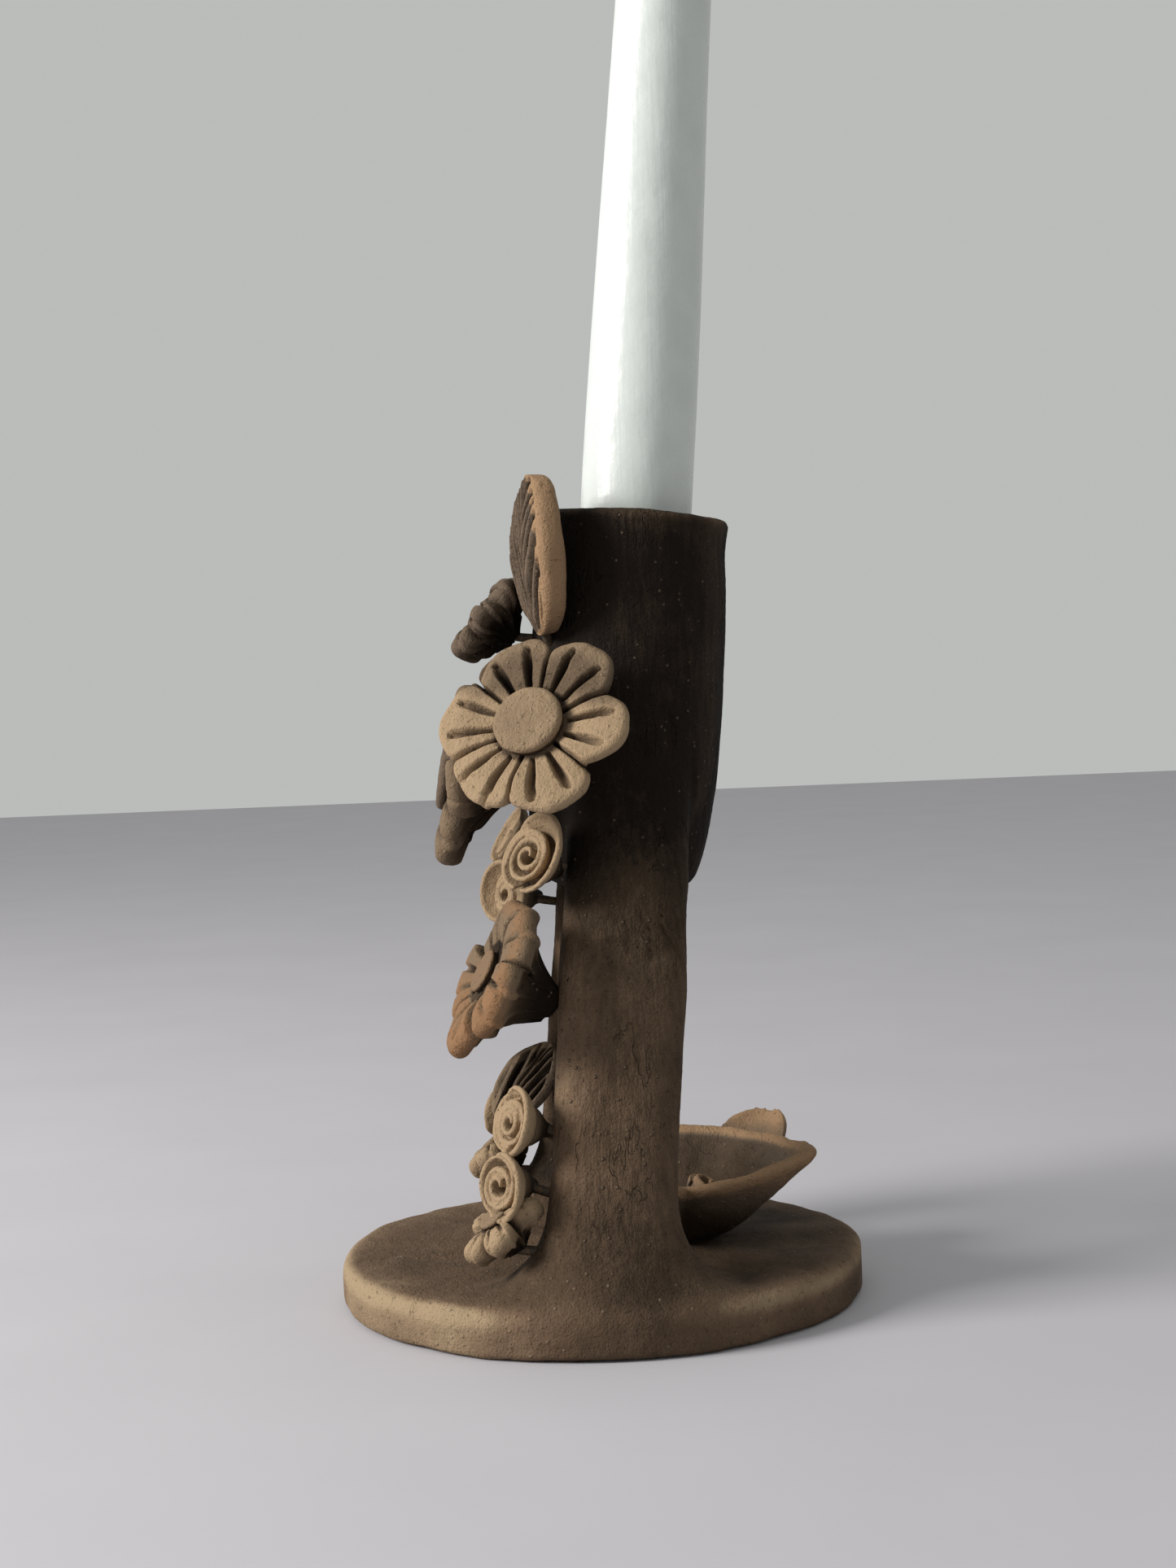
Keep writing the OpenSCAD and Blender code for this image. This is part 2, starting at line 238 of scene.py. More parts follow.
def smooth_line(keys, x):
    """A smooth line through (x, y) keys."""
    key_x, key_y = np.array(keys, float).T
    slope = np.gradient(key_y, key_x)
    i = np.clip(np.searchsorted(key_x, x) - 1, 0, len(key_x) - 2)
    step = key_x[i + 1] - key_x[i]
    t = np.clip((x - key_x[i]) / step, 0, 1)
    lift = slope[i] * step * t * (1 - t) ** 2 - slope[i + 1] * step * t ** 2 * (1 - t)
    return key_y[i] * (1 - t) ** 2 * (1 + 2 * t) + key_y[i + 1] * t ** 2 * (3 - 2 * t) + lift


def lumps(points, size, seed, stretch=(1, 1, 1)):
    """A smooth random number from about -1 to 1 at each point, with lumps of a size."""
    scaled = points / size / np.array(stretch) + np.array((7.3, 3.1, 1.7)) * seed
    return np.array([noise.noise(p) for p in scaled])


# Meshes

def circle(count):
    """Angles at even steps round a circle."""
    return np.arange(count) * 2 * math.pi / count


def turned(radius, angles, height):
    """Points from their radii, angles and heights."""
    return np.stack([radius * np.cos(angles), radius * np.sin(angles), height + 0 * angles], axis=-1)


def reach_of(points):
    """How far points are from the upright axis."""
    return np.hypot(points[:, 0], points[:, 1])


def ring_faces(rings, around, closed_end=True):
    """Quads between rings of points, with a fan to one point at each end."""
    faces = []
    for i in range(rings - 1):
        for j in range(around):
            a, b = i * around + j, i * around + (j + 1) % around
            faces.append((a, b, b + around, a + around))
    if closed_end:
        low, high, top = rings * around, rings * around + 1, (rings - 1) * around
        faces += [(low, (j + 1) % around, j) for j in range(around)]
        faces += [(high, top + j, top + (j + 1) % around) for j in range(around)]
    return faces


def skin(rings):
    """Points and faces of a closed solid through rings, an array of shape (rings, around, 3)."""
    count, around = rings.shape[:2]
    points = np.concatenate([rings.reshape(-1, 3), rings[:1].mean(1), rings[-1:].mean(1)])
    return points, ring_faces(count, around)


def lathe(profile, around):
    """Rings of a turned shape from (radius, height) points."""
    radius, height = np.array(profile, float).T
    return turned(radius[:, None], circle(around), height[:, None])


def joined(shells):
    """Several (points, faces) as one."""
    points, faces, first = [], [], 0
    for p, f in shells:
        points.append(p)
        faces += [tuple(first + i for i in face) for face in f]
        first += len(p)
    return np.concatenate(points), faces


def make_piece(name, points, faces, matrix=None, marks=None):
    """A new smooth mesh object. marks are numbers for each point, by name, for its material to read."""
    if matrix is not None:
        points = moved(points, matrix)
        if matrix.determinant() < 0:
            faces = [face[::-1] for face in faces]
    mesh = bpy.data.meshes.new(name)
    mesh.from_pydata(points.tolist(), [], faces)
    mesh.shade_smooth()
    set_marks(mesh, marks or {})
    piece = bpy.data.objects.new(name, mesh)
    bpy.context.scene.collection.objects.link(piece)
    face_outwards(piece)
    return piece


def set_marks(mesh, marks):
    """Stores numbers on a mesh's points, by name."""
    for mark, values in marks.items():
        layer = mesh.attributes.new(mark, "FLOAT", "POINT")
        layer.data.foreach_set("value", np.broadcast_to(values, len(mesh.vertices)).astype(np.float32))


def face_outwards(piece):
    """Turns every face of a closed piece to the outside."""
    bm = bmesh.new()
    bm.from_mesh(piece.data)
    bmesh.ops.recalc_face_normals(bm, faces=bm.faces)
    bm.to_mesh(piece.data)
    bm.free()


def points_of(mesh):
    """The places of a mesh's points."""
    points = np.empty(len(mesh.vertices) * 3)
    mesh.vertices.foreach_get("co", points)
    return points.reshape(-1, 3)


def normals_of(mesh):
    """The outward direction at each of a mesh's points."""
    normals = np.empty(len(mesh.vertices) * 3, dtype=np.float32)
    mesh.vertex_normals.foreach_get("vector", normals)
    return normals.reshape(-1, 3)


def set_points(mesh, points):
    """Moves a mesh's points to new places."""
    mesh.vertices.foreach_set("co", points.astype(np.float32).ravel())
    mesh.update()


def roughen(piece, *layers):
    """Moves points in and out by layers of lumps: (size, amount, seed)."""
    points, out = points_of(piece.data), normals_of(piece.data)
    shift = sum(amount * lumps(points, size, seed) for size, amount, seed in layers)
    set_points(piece.data, points + out * shift[:, None])


def fused(points, faces, grain):
    """Points and faces of overlapping solids made into one, with faces of about the grain's size."""
    mesh = bpy.data.meshes.new("fusing")
    mesh.from_pydata(points.tolist(), [], faces)
    piece = bpy.data.objects.new("fusing", mesh)
    bpy.context.scene.collection.objects.link(piece)
    face_outwards(piece)
    remesh = piece.modifiers.new("fuse", "REMESH")
    remesh.mode = "VOXEL"
    remesh.voxel_size = grain
    view = bpy.context.evaluated_depsgraph_get()
    made = bpy.data.meshes.new_from_object(piece.evaluated_get(view))
    out_points = points_of(made)
    out_faces = [tuple(p.vertices) for p in made.polygons]
    bpy.data.objects.remove(piece)
    bpy.data.meshes.remove(mesh)
    bpy.data.meshes.remove(made)
    return out_points, out_faces


def softened(points, faces, rounds, weight=1.0):
    """Points moved towards the middle of their neighbours, by a weight for each point."""
    corners = np.array([f if len(f) == 4 else (*f, f[0]) for f in faces])
    pairs = np.concatenate([corners[:, (i, (i + 1) % 4)] for i in range(4)])
    pairs = np.unique(np.sort(pairs, axis=1), axis=0)
    pairs = pairs[pairs[:, 0] != pairs[:, 1]]
    ends = np.concatenate([pairs[:, 0], pairs[:, 1]])
    others = np.concatenate([pairs[:, 1], pairs[:, 0]])
    count = np.bincount(ends, minlength=len(points))[:, None]
    pull = np.broadcast_to(0.5 * np.asarray(weight), len(points))[:, None]
    for _ in range(rounds):
        total = np.stack([np.bincount(ends, points[others, k], len(points)) for k in range(3)], axis=1)
        points = points + pull * (total / count - points)
    return points


def finished(piece, body, node, material):
    """Puts a piece on its body in place of its node, with its material."""
    piece.data.materials.append(material)
    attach(piece, body)
    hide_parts(node)


def fired(piece, node, slot):
    """Finishes a clay piece of the holder."""
    finished(piece, HOLDER, node, clay(slot))


# Materials

class Flow:
    """A socket in a material. Arithmetic on Flows adds the Math nodes that it needs."""

    def __init__(self, finish, socket):
        self.finish = finish
        self.socket = socket

    def __add__(self, other):
        return self.finish.maths("ADD", self, other)

    __radd__ = __add__

    def __sub__(self, other):
        return self.finish.maths("SUBTRACT", self, other)

    def __rsub__(self, other):
        return self.finish.maths("SUBTRACT", other, self)

    def __mul__(self, other):
        return self.finish.maths("MULTIPLY", self, other)

    __rmul__ = __mul__

    def between(self, low, high):
        """0 where this is below low, 1 above high, with a smooth rise between them."""
        settings = {"interpolation_type": "SMOOTHSTEP"}
        values = {"Value": self, "From Min": low, "From Max": high}
        return self.finish.node("ShaderNodeMapRange", "Result", settings, values)


class Finish:
    """One material, put together from nodes."""

    def __init__(self, name):
        self.material = bpy.data.materials.new(name)
        self.material.use_nodes = True
        self.tree = self.material.node_tree
        self.surface = self.tree.nodes["Principled BSDF"]
        self.place = self.node("ShaderNodeTexCoord", "Object")

    def node(self, kind, output, settings=None, inputs=None):
        """Adds a node, makes its settings, then fills its sockets, and gives one of its outputs."""
        made = self.tree.nodes.new(kind)
        for name, value in (settings or {}).items():
            if name == "stops":
                self.set_stops(made.color_ramp, value)
            else:
                setattr(made, name, value)
        for name, value in (inputs or {}).items():
            self.feed(self.find(made.inputs, name), value)
        return Flow(self, self.find(made.outputs, output))

    @staticmethod
    def find(sockets, name):
        """A socket by its identifier, or else by its name."""
        named = [s for s in sockets if s.identifier == name] or [s for s in sockets if s.name == name]
        return named[0]

    @staticmethod
    def set_stops(ramp, stops):
        """Gives a colour ramp its (position, colour) stops."""
        while len(ramp.elements) < len(stops):
            ramp.elements.new(1)
        for element, (position, colour) in zip(ramp.elements, stops):
            element.position = position
            element.color = (*colour, 1)

    def feed(self, socket, value):
        """Links a Flow to a socket, or sets a plain value."""
        if isinstance(value, Flow):
            self.tree.links.new(value.socket, socket)
        else:
            socket.default_value = value

    def maths(self, operation, a, b):
        made = self.tree.nodes.new("ShaderNodeMath")
        made.operation = operation
        self.feed(made.inputs[0], a)
        self.feed(made.inputs[1], b)
        return Flow(self, made.outputs[0])

    def mark(self, name):
        """A number that the mesh carries at each point."""
        return self.node("ShaderNodeAttribute", "Fac", {"attribute_name": name})

    def stretched(self, scale):
        """The place of each point, scaled by an amount for each axis."""
        return self.node("ShaderNodeVectorMath", "Vector", {"operation": "MULTIPLY"},
                         {"Vector": self.place, "Vector_001": scale})

    def cloud(self, size, detail=3.0, place=None, rough=0.5):
        """Smooth random values from 0 to 1 with patches of a size."""
        values = {"Vector": place or self.place, "Scale": 1 / size, "Detail": detail, "Roughness": rough}
        return self.node("ShaderNodeTexNoise", "Fac", None, values)

    def grains(self, size, share):
        """Round bumps, 1 at their middle, on a share of the cells of a size."""
        cell = self.tree.nodes.new("ShaderNodeTexVoronoi")
        self.feed(cell.inputs["Vector"], self.place)
        self.feed(cell.inputs["Scale"], 1 / size)
        colour = Flow(self, cell.outputs["Color"])
        chance = self.node("ShaderNodeSeparateColor", "Red", None, {"Color": colour})
        picked = chance.between(1 - share, 1 - 0.8 * share)
        return (1 - Flow(self, cell.outputs["Distance"]).between(0.05, 0.35)) * picked

    def mix(self, share, a, b):
        """Colour a, with a share of colour b."""
        return self.node("ShaderNodeMix", "Result_Color", {"data_type": "RGBA"},
                         {"Factor_Float": share, "A_Color": a, "B_Color": b})

    def bump(self, height, scale):
        """Feeds a height, in units of scale, to the surface's normal."""
        values = {"Height": height, "Distance": scale, "Strength": 1.0}
        self.feed(self.surface.inputs["Normal"], self.node("ShaderNodeBump", "Normal", None, values))


def rgba(colour):
    """A colour with its opacity."""
    return (*colour, 1)


def shaded(colour, share):
    """A share of a colour."""
    return rgba([c * share for c in colour])


def fired_clay(name, stops, look):
    """Unglazed clay, from pale and worn to black with smoke and with painted shade, with its grit and its
    maker's marks.
    """
    finish = Finish(name)
    smoke, hollow, wear, brush = (finish.mark(m) for m in ("smoke", "hollow", "wear", "brush"))

    # Soot and painted shade pick the colour along the stops: the marks carry smoke, painted shade behind and
    # under pieces and in recesses, and paler wear
    clouds = finish.cloud(14 * MM, 4.0) - 0.5
    mottle = finish.cloud(3.2 * MM, 6.0, rough=0.65) - 0.5
    dust = finish.cloud(0.45 * MM, 3.0) - 0.5
    streak = finish.cloud(1.3 * MM, 4.0, finish.stretched((1, 1, 0.12)), 0.6) - 0.5
    soot_and_shade = smoke + hollow * 0.62 - wear * 0.3 + clouds * look.mottling + mottle * (0.6 * look.mottling)
    soot_and_shade = soot_and_shade + dust * 0.18 + streak * brush * 0.3
    colour = finish.node("ShaderNodeValToRGB", "Color", {"stops": stops}, {"Fac": soot_and_shade})

    # Pale grains all over, and a few paler flecks in patches
    grit = finish.grains(1.3 * MM, 0.14)
    sand = finish.grains(0.7 * MM, 0.3)
    flecks = finish.grains(3.4 * MM, 0.006) * finish.cloud(0.3 * MM).between(0.5, 0.56)
    colour = finish.mix(grit * 0.45, colour, rgba(look.grit_colour))
    patches = finish.cloud(14 * MM, 1.0).between(0.56, 0.62)
    colour = finish.mix(flecks * patches * 0.7, colour, rgba(look.fleck_colour))
    finish.feed(finish.surface.inputs["Base Color"], colour)
    finish.feed(finish.surface.inputs["Roughness"], 0.82 + dust * 0.25)
    finish.surface.inputs["Specular IOR Level"].default_value = 0.14

    # Pits, brush ridges and hairline cracks
    pits = finish.cloud(1.1 * MM, 4.0, rough=0.7).between(0.62, 0.7)
    ridge = finish.cloud(0.9 * MM, 3.0, finish.stretched((1, 1, 0.1)), 0.6) - 0.5
    seam = finish.cloud(5 * MM, 3.0, finish.stretched((1, 1, 0.22))) - 0.5
    cracked = finish.cloud(11 * MM, 1.0).between(0.58, 0.64)
    crack = (1 - (seam * seam).between(0.0, 0.0003)) * cracked
    height = dust * 0.16 + mottle * 0.4 + grit * (0.16 + 0.42 * brush) + sand * 0.07 - pits * 0.14
    height = height + ridge * brush * 0.3 - crack * (0.1 + 0.35 * brush)
    finish.bump(height, look.relief)
    return finish.material


def wax(look):
    """Poured wax: cool white, glossy, with faint scratches and drag marks."""
    finish = Finish("candle wax")
    haze = finish.cloud(9 * MM, 4.0)
    colour = finish.mix(haze.between(0.35, 0.7), rgba(look.wax_colour), shaded(look.wax_colour, 0.95))
    scratch = finish.cloud(0.9 * MM, 2.0, finish.stretched((1, 1, 0.05)), 0.5) - 0.5
    nicks = finish.grains(5 * MM, 0.1)
    finish.feed(finish.surface.inputs["Base Color"], colour)
    finish.feed(finish.surface.inputs["Roughness"], 0.2 + haze * 0.16)
    finish.surface.inputs["Subsurface Weight"].default_value = 0.25
    finish.surface.inputs["Subsurface Radius"].default_value = (4 * MM, 4 * MM, 3.5 * MM)
    finish.surface.inputs["Subsurface Scale"].default_value = 1.0
    finish.bump(scratch * 0.05 + haze * 0.4 - nicks * 0.06, 1 * MM)
    return finish.material


def cotton(look):
    """Waxed thread, lighter and darker along its fibres."""
    finish = Finish("waxed cotton")
    fibre = finish.cloud(0.25 * MM, 3.0, finish.stretched((1, 1, 0.3)))
    colour = finish.mix(fibre, rgba(look.cotton_colour), shaded(look.cotton_colour, 0.8))
    finish.feed(finish.surface.inputs["Base Color"], colour)
    finish.surface.inputs["Roughness"].default_value = 0.75
    finish.bump(fibre, 0.1 * MM)
    return finish.material


def oxidised_wire(look):
    """Dark fired wire with rusty scale."""
    finish = Finish("fired wire")
    scale = finish.cloud(0.8 * MM, 4.0)
    colour = finish.mix(scale.between(0.35, 0.75), rgba(look.wire_colour), rgba(look.rust_colour))
    finish.feed(finish.surface.inputs["Base Color"], colour)
    finish.feed(finish.surface.inputs["Roughness"], 0.5 + scale * 0.35)
    finish.surface.inputs["Metallic"].default_value = 0.35
    finish.bump(scale, 0.12 * MM)
    return finish.material


def clay(slot):
    """The one material of a slot, made when it is first asked for."""
    name = slot.replace("_", " ")
    if name in bpy.data.materials:
        return bpy.data.materials[name]
    look = bpy.context.scene.clay_look
    black, dark, drab, grey = look.smoke_colour, look.dark_colour, look.drab_colour, look.grey_colour
    smoked = ((0.02, look.tan_colour), (0.36, look.brown_colour), (0.68, dark), (0.95, black))
    stops = {
        "smoked_clay": smoked,
        "base_clay": smoked,
        "buff_clay": ((0.05, look.buff_colour), (0.4, drab), (0.75, dark), (1, black)),
        "orange_clay": ((0.05, look.orange_colour), (0.35, drab), (0.7, dark), (1, black)),
        "grey_clay": ((0.05, drab), (0.35, grey), (0.7, dark), (1, black)),
        "tan_clay": ((0.05, look.leaf_colour), (0.4, grey), (0.75, dark), (1, black)),
    }
    return fired_clay(name, stops[slot], look)


# The trunk: base, legs and socket are smeared together while wet

def disc_rings():
    """The base, with a worn rim that wavers and an underside that lifts a little here and there."""
    rim = 3.2 * MM
    profile = [(0.02 * MM, 0), (BASE_R * 0.5, 0), (BASE_R - rim, 0)]
    for angle in np.radians(np.arange(-75, 76, 15)):
        flat = rim * 0.55 if angle < 0 else rim
        low = flat * (1 + math.sin(angle)) if angle < 0 else BASE_T - flat * (1 - math.sin(angle))
        profile.append((BASE_R - flat + flat * math.cos(angle), low))
    profile += [(BASE_R - rim, BASE_T), (BASE_R * 0.5, BASE_T), (0.02 * MM, BASE_T)]
    return lathe(profile, around=160)


def leg_rings():
    """One leg, from inside the base, with a foot that flares and runs out over the base's rim."""
    heights = np.concatenate([np.arange(-6, 12, 1.5), np.linspace(12, LEG_TOP / MM, 34)]) * MM
    angles = circle(56)
    across, along = np.cos(angles), np.sin(angles)
    across = np.sign(across) * np.abs(across) ** LEG_ROUND
    along = np.sign(along) * np.abs(along) ** LEG_ROUND
    rings = []
    for h in heights:
        low = np.clip(1 - (max(h, 0) + 0.5 * MM) / FLARE_RISE, 0, 1)
        flare = FLARE_OUT * (1 - math.sqrt(1 - low ** 2))
        run_out = (BASE_R - FOOT_X - LEG_T / 2) * np.clip(1 - (h + 1.5 * MM) / (21 * MM), 0, 1) ** 2.0
        half_x = LEG_T / 2 + np.where(across > 0, run_out, flare)
        half_y = LEG_W / 2 + flare
        x = leg_x(h) + across * half_x
        y = h * math.tan(LEAN) + along * half_y
        rings.append(np.stack([x, y, np.full_like(x, BASE_T + h * math.cos(LEAN))], axis=-1))
    return np.array(rings)


def socket_rings():
    """The socket in its own frame: a shoulder over the arch, a slight waist under the lip, and the hole."""
    rise = np.concatenate([np.arange(0, 6, 1.0), np.arange(6, 72.3, 2.2)]) * MM
    radius = smooth_line([(a * MM, b * MM) for a, b in SOCKET_OUTSIDE], rise)
    profile = [(0.02 * MM, SOCKET_LOW - 0.5 * MM), (8 * MM, SOCKET_LOW - 0.3 * MM)]
    profile += [(r, SOCKET_LOW + up) for r, up in zip(radius, rise)]
    lip = SOCKET_R - LIP_ROUND
    for angle in np.radians(np.arange(15, 91, 15)):
        profile.append((lip + LIP_ROUND * math.cos(angle), TREE_H - LIP_ROUND * (1 - math.sin(angle))))
    mouth = 1.2 * MM
    for angle in np.radians(np.arange(90, 181, 22.5)):
        profile.append((BORE_R + mouth * (1 + math.cos(angle)), TREE_H - mouth * (1 - math.sin(angle))))
    profile += [(BORE_R, TREE_H - 0.5 * MM * i) for i in range(5, 56, 3)]
    profile += [(BORE_R, CANDLE_SEAT), (BORE_R * 0.5, CANDLE_SEAT), (0.02 * MM, CANDLE_SEAT)]
    return lathe(profile, around=120)


def tree_heights(points):
    """Points in the tree's own frame."""
    return moved(points, on_tree().inverted())


def clean_up_hole(points):
    """Sets the candle hole's wall and floor back to their sizes."""
    inside = moved(points, on_socket().inverted())
    reach, h = reach_of(inside), inside[:, 2].copy()
    wall = (h > CANDLE_SEAT + 0.8 * MM) & (h < TREE_H - 1.5 * MM) & (reach < BORE_R + 1.5 * MM)
    inside[wall, :2] *= ((BORE_R + CLEARANCE) / reach[wall])[:, None]
    floor = (np.abs(h - CANDLE_SEAT) < 0.8 * MM) & (reach < BORE_R + 0.6 * MM)
    inside[floor, 2] = CANDLE_SEAT - CLEARANCE
    return moved(inside, on_socket())


def smear(points, faces):
    """Softens the fused trunk: lightly everywhere, and strongly where the legs meet the base and socket."""
    points = softened(points, faces, 3)
    upright = tree_heights(points)
    h = upright[:, 2]
    foot = ease(h, -7 * MM, -3 * MM) * (1 - ease(h, 7 * MM, 16 * MM))
    beside = np.abs(np.abs(upright[:, 0]) - leg_x(h))
    foot *= 1 - ease(np.hypot(beside, upright[:, 1]), 20 * MM, 32 * MM)
    shoulder = ease(h, 62 * MM, 72 * MM) * (1 - ease(h, 98 * MM, 112 * MM))
    shoulder *= ease(reach_of(upright), 11 * MM, 14 * MM)
    return softened(points, faces, 26, np.maximum(foot, shoulder))


def trunk_relief(points):
    """How far the trunk's surface stands out at each point: hand-made lumps, drag marks and seams."""
    upright = tree_heights(points)
    h = upright[:, 2]
    on_base = 1 - ease(points[:, 2], BASE_T - 1 * MM, BASE_T + 5 * MM)
    lump = 0.55 * MM * lumps(points, 17 * MM, 1) + 0.2 * MM * lumps(points, 6 * MM, 2, (1, 1, 1.6))
    drag = 0.1 * MM * lumps(upright, 2.2 * MM, 3, (1, 1, 7))
    drag += 0.05 * MM * lumps(upright, 1.1 * MM, 4, (1, 1, 6))
    grain = 0.06 * MM * lumps(points, 0.9 * MM, 5)
    seam = np.abs(lumps(upright, 5 * MM, 6, (1, 1, 5)))
    seam = -0.45 * MM * (1 - ease(seam, 0.0, 0.05)) * ease(lumps(points, 16 * MM, 7), 0.05, 0.3)
    seam *= ease(h, 30 * MM, 60 * MM) * (1 - ease(h, 104 * MM, 120 * MM))
    rim = turned(1, np.arctan2(points[:, 1], points[:, 0]), 0) * BASE_R
    waver = 0.8 * MM * lumps(rim, 22 * MM, 8) + 0.25 * MM * lumps(rim, 7 * MM, 10)
    return (1 - on_base) * (lump + drag + seam) + on_base * (0.35 * lump + waver) + grain


def level_base(points):
    """Keeps the base inside its own circle and flat underneath, but for a worn edge that lifts in places."""
    reach = reach_of(points)
    over = (points[:, 2] < BASE_T + 1 * MM) & (reach > BASE_R + CLEARANCE)
    points[over, :2] *= ((BASE_R + CLEARANCE) / reach[over])[:, None]
    under = points[:, 2] < 0.8 * MM
    lift = 0.55 * MM * ease(lumps(points, 30 * MM, 9), 0.0, 0.5)
    lift *= ease(reach, BASE_R - 6 * MM, BASE_R - 1 * MM)
    points[under, 2] = np.where(reach[under] < BASE_R - 2.2 * MM, 0, points[under, 2])
    points[:, 2] = np.maximum(points[:, 2], np.where(reach > BASE_R - 6 * MM, lift, 0))
    return points


def trunk_marks(points):
    """Smoke with painted shade, painted shade in the hole, wear and brush marks over the trunk."""
    upright = tree_heights(points)
    x, y, h = upright.T
    reach = reach_of(points)

    # The column is blackest round the socket and darker down the middle and low on the legs; paler on the
    # legs' window-facing fronts, partly less smoke and partly painted light; darker on the socket's front
    # from the flowers' painted shadow; and paler at the rim
    front = ease(-y, 2 * MM, 11 * MM)
    column = 0.5 + 0.06 * ease(h, 20 * MM, 50 * MM) + 0.4 * ease(h, 52 * MM, 96 * MM)
    column -= 0.24 * front * ease(h, 12 * MM, 40 * MM) * (1 - ease(h, 54 * MM, 78 * MM))
    column += 0.12 * (1 - ease(h, 8 * MM, 26 * MM))
    column += 0.16 * front * ease(h, 66 * MM, 80 * MM)
    column -= 0.16 * ease(y, 9 * MM, 16 * MM) * ease(h, 70 * MM, 80 * MM)
    column -= 0.16 * ease(h, TREE_H - 6 * MM, TREE_H)
    column += 0.25 * (1 - ease(np.abs(x), leg_x(h) - 7 * MM, leg_x(h) - 1 * MM)) * ease(h, 0, 8 * MM)

    # The base is paler at its rim, and dark round the feet; its top darkens towards the back with the tree's
    # painted shadow, and its rim darkens on the back half towards the camera, partly darker clay and partly
    # painted shade away from the window
    beside = np.abs(np.abs(x) - FOOT_X)
    away = ease(np.hypot(0.9 * beside, points[:, 1]), 15 * MM, 30 * MM)
    side = ease(reach, BASE_R - 3 * MM, BASE_R - 0.5 * MM)
    top = 0.46 + 0.16 * ease(points[:, 1], -20 * MM, 15 * MM) - 0.14 * ease(reach, BASE_R - 12 * MM, BASE_R)
    rim = 0.22 + 0.1 * lumps(points, 16 * MM, 12)
    rim += 0.24 * ease(points[:, 1], 0, 30 * MM) * ease(points[:, 0], -20 * MM, 20 * MM)
    disc = away * ((1 - side) * top + side * rim) + (1 - away) * (0.6 - 0.08 * side)
    disc += 0.1 * lumps(points, 9 * MM, 13)
    on_base = 1 - ease(points[:, 2], BASE_T + 0.5 * MM, BASE_T + 9 * MM)

    wear = ease(reach, BASE_R - 3.4 * MM, BASE_R - 1.4 * MM) * peak(points[:, 2], BASE_T - 2 * MM, 1.7 * MM)
    wear = wear * away + 0.5 * peak(h, TREE_H - 0.6 * MM, 0.9 * MM)
    # Inside the candle hole the clay is darkened with painted shade
    in_hole = reach_of(moved(points, on_socket().inverted())) < BORE_R + 0.4 * MM
    return {
        "smoke": on_base * disc + (1 - on_base) * column,
        "hollow": 0.8 * (in_hole & (h > SOCKET_LOW + 10 * MM)),
        "wear": wear,
        "brush": ease(points[:, 2], BASE_T + 2 * MM, BASE_T + 14 * MM),
    }


def cut_out(points, faces, marks, name, planes):
    """A closed piece of the trunk, kept on the far side of each (point, normal) plane."""
    piece = make_piece(name, points, faces, None, marks)
    bm = bmesh.new()
    bm.from_mesh(piece.data)
    for place, normal in planes:
        everything = bm.verts[:] + bm.edges[:] + bm.faces[:]
        cut = bmesh.ops.bisect_plane(bm, geom=everything, dist=1e-7, plane_co=place, plane_no=normal,
                                     clear_inner=True)
        rim = [e for e in cut["geom_cut"] if isinstance(e, bmesh.types.BMEdge) and e.is_boundary]
        bmesh.ops.holes_fill(bm, edges=rim, sides=0)
        for edge in rim:
            edge.smooth = False
    bmesh.ops.triangulate(bm, faces=[f for f in bm.faces if len(f.verts) > 4])
    bm.to_mesh(piece.data)
    bm.free()
    piece.data.update()
    return piece


def build_trunk(look):
    """The base, both legs and the socket, cut from one smeared skin."""
    right = leg_rings()
    left = right * np.array((-1, 1, 1))
    socket, socket_faces = skin(socket_rings())
    shells = [skin(disc_rings()), skin(right), skin(left), (moved(socket, on_socket()), socket_faces)]
    points, faces = fused(*joined(shells), look.trunk_grain)
    points = smear(points, faces)
    whole = make_piece("trunk", points, faces)
    out = normals_of(whole.data).astype(float)
    bpy.data.objects.remove(whole)
    points = points + out * trunk_relief(points)[:, None]
    points = level_base(clean_up_hole(points))
    marks = trunk_marks(points)

    base_top = Vector((0, 0, BASE_T + 1 * MM))
    arch_top = on_tree() @ Vector((0, 0, ARCH_TOP))
    up, along = Vector((0, 0, 1)), CANDLE_AXIS
    outwards = Vector((1, 0, 0))
    cuts = {
        "base_disc": ((base_top, -up),),
        "right_leg": ((base_top, up), (arch_top, -along), (Vector(), outwards)),
        "left_leg": ((base_top, up), (arch_top, -along), (Vector(), -outwards)),
        "candle_socket": ((arch_top, along),),
    }
    for node, planes in cuts.items():
        piece = cut_out(points, faces, marks, node + "_fired", planes)
        fired(piece, node, "base_clay" if node == "base_disc" else "smoked_clay")


# Candle and wick

